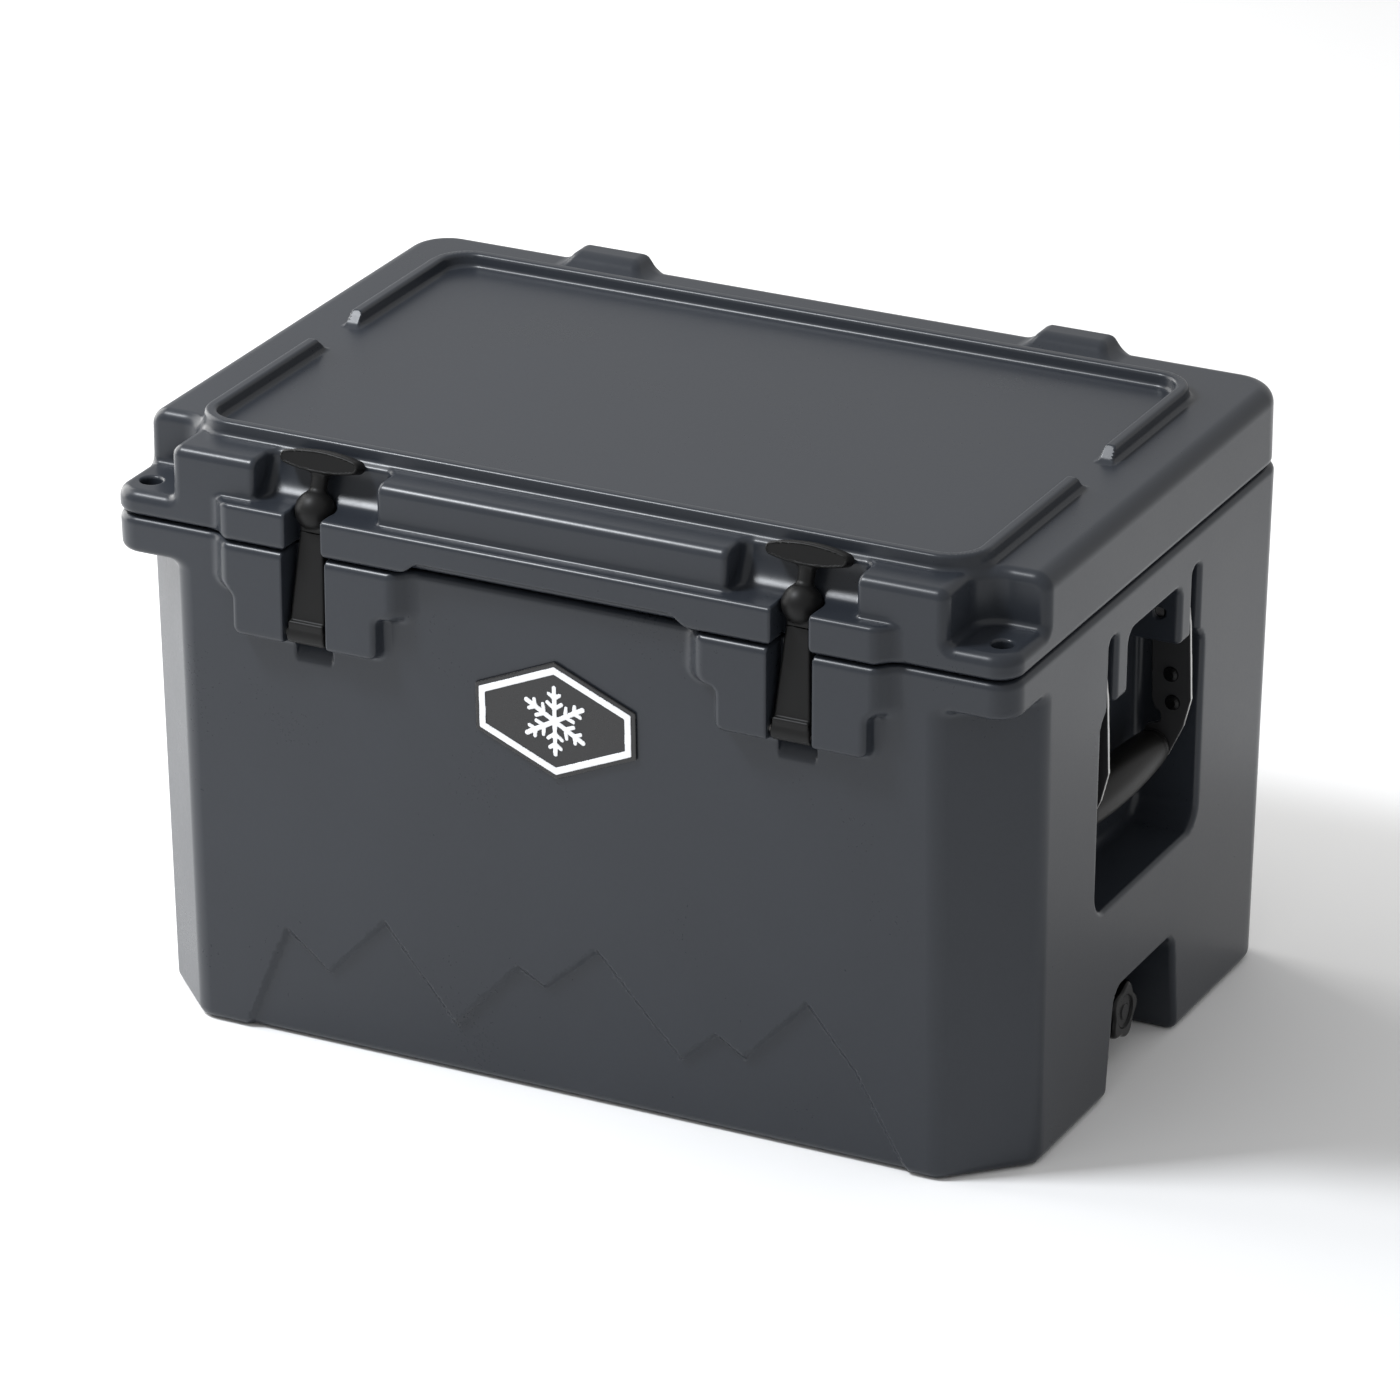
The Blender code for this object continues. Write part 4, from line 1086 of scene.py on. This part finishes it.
@dataclass
class Lid:
    """The upper moulding: slab, ledge, latch scoops, rib frame, hinge ears and arms."""

    wardrobe: Wardrobe
    top: float = 0.455
    crown: float = 0.4657
    ledge_top: float = 0.424
    corner_x: float = 0.3045
    corner_y: float = -0.1772
    corner_floor: float = 0.414
    rib_half: float = 0.3086
    rib_front: float = -0.200
    rib_back: float = 0.195
    rib_corner: float = 0.032
    gap_y: float = 0.0075
    gap_half: float = 0.0335
    lift_half: float = 0.112
    lift_slope: float = 1.2
    lift_top: float = 0.4052
    ear_half: float = 0.026
    ear_front: float = 0.2245
    seat_radius: float = 0.0158
    scoop_x: float = 0.1869
    scoop_y: float = -0.2062
    scoop_half: float = 0.0491
    scoop_radius: float = 0.028
    skin_y: float = 0.011
    groove_roof: float = 0.3995
    groove_half: float = 0.0045
    seal_half: float = 0.0040
    seal_top: float = 0.3990
    seal_foot: float = 0.3945

    def ledge(self, a: Array, y: Array, z: Array) -> Array:
        """Distance to the front ledge with the finger lift under it.

        Args:
            a: Distance from the middle plane.
            y: Front to back.
            z: Up.

        Returns:
            Signed distance.
        """
        flank = (a - PLAN.boss_outer - (y - PLAN.proud)) * math.sqrt(0.5)
        shape = meet(meet(flank, PLAN.proud - y, 0.0034), z - self.ledge_top, 0.0038)
        half = self.lift_half - self.lift_slope * (z - PLAN.lid_bottom)
        lift = meet(a - half, z - self.lift_top, 0.003)
        shape = carve(shape, lift, 0.0022)
        return np.maximum(shape, y - PLAN.proud_root)

    def scoop(self, a: Array, y: Array, z: Array) -> Array:
        """Distance to the hollow behind a latch's pull, curved up at its back."""
        pipe = meet(y - self.scoop_y, self.ledge_top - 0.003 - z, self.scoop_radius)
        return meet(pipe, np.abs(a - self.scoop_x) - self.scoop_half, 0.007)

    def ribs(self, a: Array, y: Array, z: Array) -> Array:
        """Distance to the raised rib frame, open in the middle of its short sides.

        Args:
            a: Distance from the middle plane.
            y: Front to back.
            z: Up.

        Returns:
            Signed distance.
        """
        middle = 0.5 * (self.rib_front + self.rib_back)
        half = 0.5 * (self.rib_back - self.rib_front)
        line = meet(a - self.rib_half, np.abs(y - middle) - half, self.rib_corner) + 0.0046
        drop = self.crown - z
        rib = meet(np.abs(line) - 0.0042 - 0.16 * drop, z - self.crown, 0.0022)
        gap = (np.abs(y - self.gap_y) - self.gap_half + 0.9 * drop) * 0.74
        return np.maximum(carve(rib, gap, 0.0006), 0.4520 - z)

    def ear(self, a: Array, y: Array, z: Array) -> Array:
        """Distance to a raised ear over a hinge, sloped at its front and ends.

        Args:
            a: Distance from the middle plane.
            y: Front to back.
            z: Up.

        Returns:
            Signed distance.
        """
        drop = self.crown - z
        ends = (np.abs(a - PLAN.hinge_x) - self.ear_half - 0.75 * drop) * 0.8
        nose = (self.ear_front - 1.35 * drop - y) * 0.6
        shape = meet(meet(ends, nose, 0.004), -drop, 0.0032)
        return np.maximum(meet(shape, y - PLAN.back + 0.0002, 0.005), 0.4440 - z)

    def outside(self, x: Array, y: Array, z: Array) -> Array:
        """Distance to the lid's outer moulding.

        Args:
            x: Across.
            y: Front to back.
            z: Up.

        Returns:
            Signed distance.
        """
        a = np.abs(x)
        block = meet(meet(a - PLAN.half_width, PLAN.front - y, 0.020), y - PLAN.back, 0.034)
        block = meet(block, z - self.top, 0.013 - 0.005 * smooth_step(-y, 0.175, 0.205))
        corner = meet(self.corner_x - a, y - self.corner_y, 0.022)
        block = carve(block, meet(corner, self.corner_floor - z, 0.005), 0.0085)
        block = carve(block, self.scoop(a, y, z), 0.0045)
        shape = merge(block, self.ledge(a, y, z), 0.003)
        notch = meet(np.abs(a - PLAN.latch_x) - 0.0143, y + 0.2225, 0.004)
        shape = carve(shape, notch, 0.0022)
        pulled = np.clip(z - PLAN.ball_z, 0.0, PLAN.ball_rise)
        seat = np.sqrt((a - PLAN.latch_x) ** 2 + (y - PLAN.ball_y) ** 2 + (z - PLAN.ball_z - pulled) ** 2)
        shape = carve(shape, seat - self.seat_radius, 0.0012)
        shape = merge(shape, self.ribs(a, y, z), 0.0030)
        shape = merge(shape, self.ear(a, y, z), 0.006)
        shape = meet(shape, PLAN.lid_bottom - z, 0.0055)
        shape = carve(shape, PLAN.tie_hole(a, y), 0.0022)
        hollow = meet(meet(a - 0.334, np.abs(y - self.skin_y) - 0.207, 0.055), z - 0.4060)
        shape = carve(shape, hollow)
        out = np.hypot(y - PLAN.hinge_y, z - PLAN.hinge_z)
        upright = np.maximum(np.abs(y - PLAN.hinge_y) - 0.009, between(z, PLAN.hinge_z, 0.405))
        arm = meet(np.abs(a - PLAN.hinge_x) - 0.030, np.minimum(out - 0.009, upright), 0.0012)
        arm = carve(arm, out - PLAN.pin_bore, 0.0004)
        return np.minimum(shape, arm)

    def inside(self, x: Array, y: Array, z: Array) -> Array:
        """Distance to the lid's inner skin: plate, seal groove and the shallow plug.

        Args:
            x: Across.
            y: Front to back.
            z: Up.

        Returns:
            Signed distance.
        """
        a = np.abs(x)
        plate = meet(a - 0.3337, np.abs(y - self.skin_y) - 0.2067, 0.055)
        plate = meet(plate, PLAN.lid_bottom - z, 0.001)
        plate = np.maximum(plate, z - 0.4035)
        slope = 0.3 * (0.398 - z)
        plug = meet(a - 0.270 + slope, np.abs(y - PLAN.cavity_y) - 0.161 + slope, 0.024)
        plug = meet(plug, 0.378 - z, 0.005)
        shape = merge(plate, np.maximum(plug, z - 0.400), 0.003)
        dish = meet(meet(a - 0.236, np.abs(y - PLAN.cavity_y) - 0.127, 0.020), z - 0.3805, 0.001)
        shape = carve(shape, dish, 0.002)
        groove = self.seal_line(a, y) - self.groove_half
        return carve(shape, np.maximum(groove, z - self.groove_roof), 0.0006)

    def seal_line(self, a: Array, y: Array) -> Array:
        """Distance to the rounded loop along which the groove and the seal run."""
        return np.abs(meet(a - 0.300, np.abs(y - PLAN.rim_y) - 0.188, 0.030))

    def build(self) -> None:
        """Builds and dresses both skins of the lid."""
        across = ruling(-0.358, 0.358, 0.0060, mirrored([
            (0.096, 0.118, 0.0030), (0.132, 0.172, 0.0022), (0.172, 0.212, 0.0018), (0.212, 0.272, 0.0022),
            (0.272, 0.358, 0.0021),
        ]))
        deep = ruling(-0.250, 0.250, 0.0080, [
            (-0.250, -0.160, 0.0020), (-0.034, -0.010, 0.0016), (0.022, 0.046, 0.0016),
            (0.176, 0.250, 0.0022),
        ])
        up = ruling(0.367, 0.4690, 0.0026, [(0.393, 0.4690, 0.0019)])
        shell = solid("lid_moulding", self.outside, (across, deep, up))
        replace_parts(self.wardrobe.dress(shell, SHELL_FINISH), "lid_shell")
        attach(shell, "lid")
        across = ruling(-0.337, 0.337, 0.008, mirrored([(0.226, 0.337, 0.0026)]))
        deep = ruling(-0.199, 0.221, 0.008, [(-0.199, -0.112, 0.0026), (0.118, 0.221, 0.0026)])
        up = ruling(0.375, 0.406, 0.0016)
        liner = solid("lid_inner_skin", self.inside, (across, deep, up))
        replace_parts(self.wardrobe.dress(liner, LINER_FINISH), "lid_liner")
        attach(liner, "lid")
        self.seal()
        self.wardrobe.dress_node("lid_foam", FOAM_FINISH)

    def seal(self) -> None:
        """Builds the seal: a rounded ring carried along the groove's middle line.

        Formula: the distance to a ring whose section reaches seal_half each way from the
        groove's line and stands from just under the groove's roof to just over the rim.
        """
        def ring(x: Array, y: Array, z: Array) -> Array:
            """Distance to the seal."""
            line = self.seal_line(np.abs(x), y)
            return meet(meet(line - self.seal_half, self.seal_foot - z, 0.0018), z - self.seal_top)

        across = ruling(-0.306, 0.306, 0.006, mirrored([(0.262, 0.306, 0.0013)]))
        deep = ruling(-0.190, 0.198, 0.006, [(-0.190, -0.148, 0.0013), (0.158, 0.198, 0.0013)])
        piece = solid("lid_seal", ring, (across, deep, ruling(0.3935, 0.4000, 0.0010)))
        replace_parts(self.wardrobe.dress(piece, SEAL_FINISH), "lid_gasket")
        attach(piece, "lid")


@dataclass
class Latch:
    """A rubber T-latch: barrel on its pin, strap, ball and pull."""

    side: Side
    wardrobe: Wardrobe
    barrel_y: float = -0.2375
    barrel_z: float = 0.3315
    strap_foot: float = 0.3335
    strap_top: float = 0.4075
    strap_half: float = 0.0148
    strap_narrowing: float = 0.0053
    barrel_radius: float = 0.0075
    barrel_half: float = 0.0150
    pin_bore: float = 0.0033
    ball_radius: float = 0.0142
    neck_radius: float = 0.0062
    lens_offset: float = 0.1120
    lens_radius: float = 0.1200
    pull_half: float = 0.0315
    pull_depth: float = 0.00725
    pull_y: float = -0.2207
    pull_z: float = 0.4575
    pull_tilt: float = math.radians(18.0)

    @property
    def middle(self) -> float:
        """The latch's middle line in x."""
        return self.side.value * PLAN.latch_x

    def strap(self, x: Array, y: Array, z: Array) -> Array:
        """Distance to the barrel and the tapering strap above it.

        Args:
            x: Across.
            y: Front to back.
            z: Up.

        Returns:
            Signed distance.
        """
        u = np.abs(x - self.middle)
        out = np.hypot(y - self.barrel_y, z - self.barrel_z)
        barrel = meet(out - self.barrel_radius, u - self.barrel_half, 0.0012)
        band = meet(np.abs(y + 0.2395) - 0.0046, between(z, 0.3272, 0.3425), 0.0020)
        shape = merge(barrel, meet(band, u - 0.0142, 0.0015), 0.001)
        share = (z - self.strap_foot) / (self.strap_top - self.strap_foot)
        half = self.strap_half - self.strap_narrowing * share
        centre = -0.2388 + 0.0106 * share
        web = meet(u - half, np.abs(y - centre) - 0.0034 - 0.0010 * share, 0.0022)
        web = np.maximum(web, between(z, 0.3330, self.strap_top))
        shape = merge(shape, web, 0.0016)
        return carve(shape, out - self.pin_bore, 0.0003)

    def head(self, x: Array, y: Array, z: Array) -> Array:
        """Distance to the ball, the neck and the lens-shaped pull.

        Args:
            x: Across.
            y: Front to back.
            z: Up.

        Returns:
            Signed distance.
        """
        u = x - self.middle
        ball = np.sqrt(u * u + (y - PLAN.ball_y) ** 2 + (z - PLAN.ball_z) ** 2) - self.ball_radius
        dy, dz = y - self.pull_y, z - self.pull_z
        deep = math.cos(self.pull_tilt) * dy - math.sin(self.pull_tilt) * dz
        tall = math.sin(self.pull_tilt) * dy + math.cos(self.pull_tilt) * dz
        low, high = (np.hypot(u, tall + s * self.lens_offset) - self.lens_radius for s in (-1.0, 1.0))
        lens = meet(np.maximum(low, high), np.abs(u) - self.pull_half, 0.0040)
        bar = meet(lens, np.abs(deep - self.pull_depth) - self.pull_depth, 0.0020)
        bar = carve(bar, np.maximum(lens + 0.0017, deep - 0.0008), 0.0004)
        lift = np.clip((z - PLAN.ball_z) / 0.032, 0.0, 1.0)
        neck = np.hypot(u, y - (PLAN.ball_y + 0.0135 * lift)) - self.neck_radius
        neck = np.maximum(neck, between(z, PLAN.ball_z, 0.4535))
        behind = np.maximum(0.0026 - deep, 0.0)
        shape = merge(merge(ball, neck, 0.0024), bar, np.maximum(0.0045 - 2.0 * behind, 1.0e-4))
        root = meet(np.abs(u) - 0.0095, np.abs(y + 0.2280) - 0.0044, 0.0022)
        root = np.maximum(root, between(z, self.strap_top + 0.0004, 0.420))
        return np.maximum(merge(shape, root, 0.002), self.strap_top + 0.0004 - z)

    def build(self) -> None:
        """Builds and dresses the strap and the head above it; the strap is not made to stretch."""
        label, x0 = self.side.label, self.middle
        grid = (ruling(x0 - 0.017, x0 + 0.017, 0.0009), ruling(-0.247, -0.221, 0.0008),
                ruling(0.322, 0.410, 0.0012))
        strap = solid(f"latch_strap_rubber_{label}", self.strap, grid)
        self.wardrobe.dress(strap, RUBBER_FINISH)
        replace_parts(strap, f"latch_strap_{label}")
        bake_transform(strap)
        grid = (ruling(x0 - 0.037, x0 + 0.037, 0.0009), ruling(-0.244, -0.200, 0.0008),
                ruling(0.405, 0.4695, 0.0008))
        head = solid(f"latch_pull_rubber_{label}", self.head, grid)
        self.wardrobe.dress(head, RUBBER_FINISH)
        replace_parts(head, f"latch_head_{label}")
        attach(head, f"latch_pull_{label}")


@dataclass
class Handle:
    """A swinging handle: two sheet-steel arms, a rod and a barrel-shaped grip."""

    side: Side
    wardrobe: Wardrobe
    grip_x: float = 0.3255
    grip_z: float = 0.222
    rod_bore: float = 0.0053
    arm_half: float = 0.00175
    grip_half: float = 0.0700
    outline: list = field(default_factory=list)

    def __post_init__(self) -> None:
        """Draws the arm's outline from its pivot down to the grip."""
        points = arc_points((PLAN.pivot_x, PLAN.pivot_z), 0.0125, 20.0, 160.0, 16)
        points += [(0.3215, 0.310), (0.3225, 0.258)]
        points += arc_points((0.3240, 0.2450), 0.0060, 80.0, -60.0, 10)
        points += [(0.3195, 0.2375)]
        points += arc_points((self.grip_x, self.grip_z), 0.0125, 150.0, 330.0, 16)
        self.outline = [*points, (0.3475, 0.2400), (0.3530, 0.2620), (0.3510, 0.3200)]

    def arm(self, middle: float) -> Distance:
        """The distance to one arm whose sheet lies about y = middle.

        Args:
            middle: The y of the sheet's middle.

        Returns:
            The arm's distance.
        """
        def shape(x: Array, y: Array, z: Array) -> Array:
            """Distance to the arm with its two holes.

            Args:
                x: Across.
                y: Front to back.
                z: Up.

            Returns:
                Signed distance.
            """
            a = x * self.side.value
            plate = outline_distance(a, z, self.outline)
            pivot = np.hypot(a - PLAN.pivot_x, z - PLAN.pivot_z) - PLAN.pin_bore
            rod = np.hypot(a - self.grip_x, z - self.grip_z) - self.rod_bore
            plate = np.maximum(plate, -np.minimum(pivot, rod))
            return meet(plate, np.abs(y - middle) - self.arm_half, 0.0004)

        return shape

    def build(self) -> None:
        """Builds and dresses the arms and the grip, and dresses the rivets, the pins and the rod."""
        label, body = self.side.label, f"handle_{self.side.label}"
        s = self.side.value
        low, high = sorted((s * 0.310, s * 0.357))
        for spot in Spot:
            middle = PLAN.handle_y + spot.value * PLAN.arm_offset
            name = f"handle_arm_{label}_{spot.label}"
            coat = CoatedPlate(f"coated_{spot.label}", "coated_steel", middle, self.arm_half)
            grid = (ruling(low, high, 0.0011), ruling(middle - 0.0026, middle + 0.0026, 0.00055),
                    ruling(0.206, 0.352, 0.0011))
            piece = solid(f"{name}_plate", self.arm(middle), grid)
            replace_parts(self.wardrobe.dress(piece, coat), name)
            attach(piece, body)
            for k in (1, 2):
                self.wardrobe.dress_node(f"handle_rivet_{label}_{spot.label}_{k}", KNOB_FINISH)
            self.wardrobe.dress_node(f"handle_pin_{label}_{spot.label}", ROD_FINISH)
        self.wardrobe.dress_node(f"handle_rod_{label}", ROD_FINISH)
        t = np.linspace(-1.0, 1.0, 81)
        radius = 0.0128 + 0.0042 * np.cos(t * math.pi / 2.0) ** 0.7
        radius = radius - 0.0016 * (np.abs(t) > 0.965) * ((np.abs(t) - 0.965) / 0.035) ** 2
        radius = radius - 0.0007 * np.exp(-(((np.abs(t) - 0.90) / 0.012) ** 2))
        outer = np.stack([t * self.grip_half, radius], 1)
        bore = np.stack([np.array([1.0, -1.0]) * self.grip_half, np.full(2, self.rod_bore)], 1)
        profile = np.concatenate([outer, bore, outer[:1]])
        centre = Vector((s * self.grip_x, PLAN.handle_y, self.grip_z))
        grip = turned(f"handle_grip_barrel_{label}", profile, centre)
        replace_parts(self.wardrobe.dress(grip, GRIP_FINISH), f"handle_grip_{label}")
        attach(grip, body)


@dataclass
class Drain:
    """The drain: tube, seal and a screw plug with five soft lobes."""

    wardrobe: Wardrobe
    lobes: int = 5
    knob_radius: float = 0.0230
    knob_back: float = 0.3127
    knob_face: float = 0.3375
    stem_radius: float = 0.0092

    def plug(self, x: Array, y: Array, z: Array) -> Array:
        """Distance to the lobed knob with a shallow dish in its face and its stem.

        Args:
            x: Across.
            y: Front to back.
            z: Up.

        Returns:
            Signed distance.
        """
        v, w = y - PLAN.drain_y, z - PLAN.drain_z
        out = np.hypot(v, w)
        turn = np.arctan2(w, v)
        rim = out - self.knob_radius * (0.915 + 0.085 * np.cos(self.lobes * turn))
        knob = meet(rim * 0.95, between(x, self.knob_back, self.knob_face), 0.0030)
        knob = carve(knob, meet(out - 0.0125, 0.3360 - x, 0.0008), 0.0008)
        knob = merge(knob, meet(out - 0.0060, between(x, 0.330, 0.3369), 0.0008), 0.0006)
        stem = np.maximum(out - self.stem_radius, between(x, 0.2972, 0.3140))
        return np.minimum(knob, stem)

    def build(self) -> None:
        """Builds and dresses the plug and dresses the tube and the seal."""
        grid = (ruling(0.296, 0.3385, 0.0012), ruling(-0.0095, 0.0385, 0.0010),
                ruling(0.0160, 0.0640, 0.0010))
        knob = solid("drain_plug_knob", self.plug, grid)
        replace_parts(self.wardrobe.dress(knob, KNOB_FINISH), "drain_plug")
        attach(knob, "drain_knob")
        self.wardrobe.dress_node("drain_tube", KNOB_FINISH)
        self.wardrobe.dress_node("drain_seal", SEAL_FINISH)


@dataclass
class Badge:
    """A six-sided plate on the front with a plain snow crystal on it."""

    wardrobe: Wardrobe
    tub: Tub
    x: float = 0.0030
    z: float = 0.3010
    half_width: float = 0.0635
    half_height: float = 0.0455
    shoulder: float = 0.0180
    twig_lean: float = 52.0

    def hexagon(self, u: Array, v: Array) -> Array:
        """Distance to the plate's outline."""
        w, h, s = self.half_width, self.half_height, self.shoulder
        return outline_distance(u, v, [(0.0, h), (-w, s), (-w, -s), (0.0, -h), (w, -s), (w, s)])

    def crystal(self, u: Array, v: Array) -> Array:
        """Distance to a six-armed crystal: one arm with its twigs, folded six ways.

        Args:
            u: Across, from the badge's middle.
            v: Up, from the badge's middle.

        Returns:
            Signed distance.
        """
        turn, lean = math.pi / 3.0, math.radians(self.twig_lean)
        c, s = math.cos(lean), math.sin(lean)
        angle = np.abs(np.mod(np.arctan2(u, v) + turn / 2.0, turn) - turn / 2.0)
        out = np.hypot(u, v)
        p, q = out * np.cos(angle), out * np.sin(angle)
        shape = np.hypot(p - np.clip(p, 0.0, 0.0255), q) - 0.0019
        for start, length in ((0.0095, 0.0070), (0.0175, 0.0055)):
            along = np.clip((p - start) * c + q * s, 0.0, length)
            shape = np.minimum(shape, np.hypot(p - start - along * c, q - along * s) - 0.0015)
        return shape

    def layer(self, pattern: Pattern, low: float, high: float, edge: float) -> Distance:
        """A flat layer on the front face, from low to high above it.

        Args:
            pattern: Distance to the layer's outline in the face.
            low: Where the layer starts above the face.
            high: Where it ends.
            edge: Radius of its edges.

        Returns:
            The layer's distance.
        """
        def shape(x: Array, y: Array, z: Array) -> Array:
            """Distance to the layer."""
            lift = self.tub.face(z) - y
            return meet(pattern(x - self.x, z - self.z), between(lift, low, high), edge)

        return shape

    def build(self) -> None:
        """Builds and dresses the plate and the raised white crystal and border."""
        def white(u: Array, v: Array) -> Array:
            """Distance to the border and the crystal together."""
            return np.minimum(np.abs(self.hexagon(u, v) + 0.0060) - 0.0026, self.crystal(u, v))

        def grid(spacing: float) -> tuple[Array, Array, Array]:
            """The grid lines round the plate."""
            across, up = ruling(-0.0630, 0.0690, spacing), ruling(0.2530, 0.3490, spacing)
            return across, ruling(-0.2370, -0.2270, 0.0006), up

        plate = solid("badge_back_plate", self.layer(self.hexagon, 0.0002, 0.0021, 0.0007), grid(0.0012))
        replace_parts(self.wardrobe.dress(plate, ENAMEL_FINISH), "badge_plate")
        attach(plate, "tub")
        face = solid("badge_crystal_print", self.layer(white, 0.0019, 0.0028, 0.0003), grid(0.0008))
        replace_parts(self.wardrobe.dress(face, WHITE_FINISH), "badge_symbol")
        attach(face, "tub")


@dataclass
class Studio:
    """Floor, soft lights, sky and camera."""

    aim: tuple[float, float, float] = (0.0, 0.0, 0.226)
    distance: float = 5.610
    azimuth: float = math.radians(26.5736)
    elevation: float = math.radians(23.4599)
    lens: float = 197.32
    floor_reach: float = 30.0
    floor_z: float = -0.0004
    sky_strength: float = 0.62

    def lamp(self, name: str, place: tuple, aim: tuple, size: tuple, power: float, tint: tuple) -> None:
        """Adds one soft light.

        Args:
            name: Its name.
            place: Where it stands.
            aim: The point that it faces.
            size: Its width and height.
            power: Its power in watts.
            tint: Its colour.
        """
        data = bpy.data.lights.new(name, "AREA")
        data.shape = "RECTANGLE"
        data.size, data.size_y = size
        data.energy = power
        data.color = tint
        lamp = bpy.data.objects.new(name, data)
        lamp.location = place
        lamp.rotation_euler = (Vector(aim) - Vector(place)).to_track_quat("-Z", "Y").to_euler()
        bpy.context.scene.collection.objects.link(lamp)

    def build(self) -> None:
        """Adds the floor, the lights, the sky and the camera."""
        scene = bpy.context.scene
        reach = self.floor_reach
        signs = ((-1, -1), (1, -1), (1, 1), (-1, 1))
        corners = [(i * reach, j * reach, self.floor_z) for i, j in signs]
        floor = add_mesh("studio_floor", np.array(corners), np.array([(0, 1, 2, 3)]))
        paper = Graph("studio_paper")
        tint = paper.noise(paper.place(), 3.0)
        paper.set(Base_Color=paper.mix(tint, (0.90, 0.90, 0.90), (0.93, 0.93, 0.93)), Roughness=0.9)
        floor.data.materials.append(paper.material)
        centre = (0.0, 0.0, 0.25)
        cool = (0.93, 0.96, 1.0)
        self.lamp("left_softbox", (-3.1, 0.45, 1.30), centre, (3.0, 3.0), 124.0, (1.0, 0.99, 0.97))
        self.lamp("crown_softbox", (-1.25, -1.20, 2.70), centre, (0.55, 0.55), 76.0, cool)
        sky = bpy.data.worlds.new("studio_sky")
        sky.use_nodes = True
        sky.node_tree.nodes["Background"].inputs[0].default_value = (1.0, 1.0, 1.0, 1.0)
        sky.node_tree.nodes["Background"].inputs[1].default_value = self.sky_strength
        scene.world = sky
        scene.view_settings.view_transform = "Standard"
        data = bpy.data.cameras.new("camera")
        data.lens, data.sensor_width, data.clip_end = self.lens, 36.0, 100.0
        camera = bpy.data.objects.new("camera", data)
        level = math.cos(self.elevation)
        across, deep = math.sin(self.azimuth) * level, -math.cos(self.azimuth) * level
        back = Vector((across, deep, math.sin(self.elevation)))
        camera.location = Vector(self.aim) + back * self.distance
        camera.rotation_euler = (-back).to_track_quat("-Z", "Y").to_euler()
        scene.collection.objects.link(camera)
        scene.camera = camera


def main() -> None:
    """Builds every sub-assembly in order."""
    logging.basicConfig(level=logging.INFO, format="%(message)s")
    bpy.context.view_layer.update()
    wardrobe = Wardrobe()
    tub = Tub(wardrobe)
    parts = [tub, Lid(wardrobe), Drain(wardrobe), Badge(wardrobe, tub)]
    parts += [maker(side, wardrobe) for side in Side for maker in (Latch, Handle)]
    for part in [*parts, Studio()]:
        part.build()
        LOG.info("built %s", type(part).__name__)


if __name__ == "__main__":
    main()
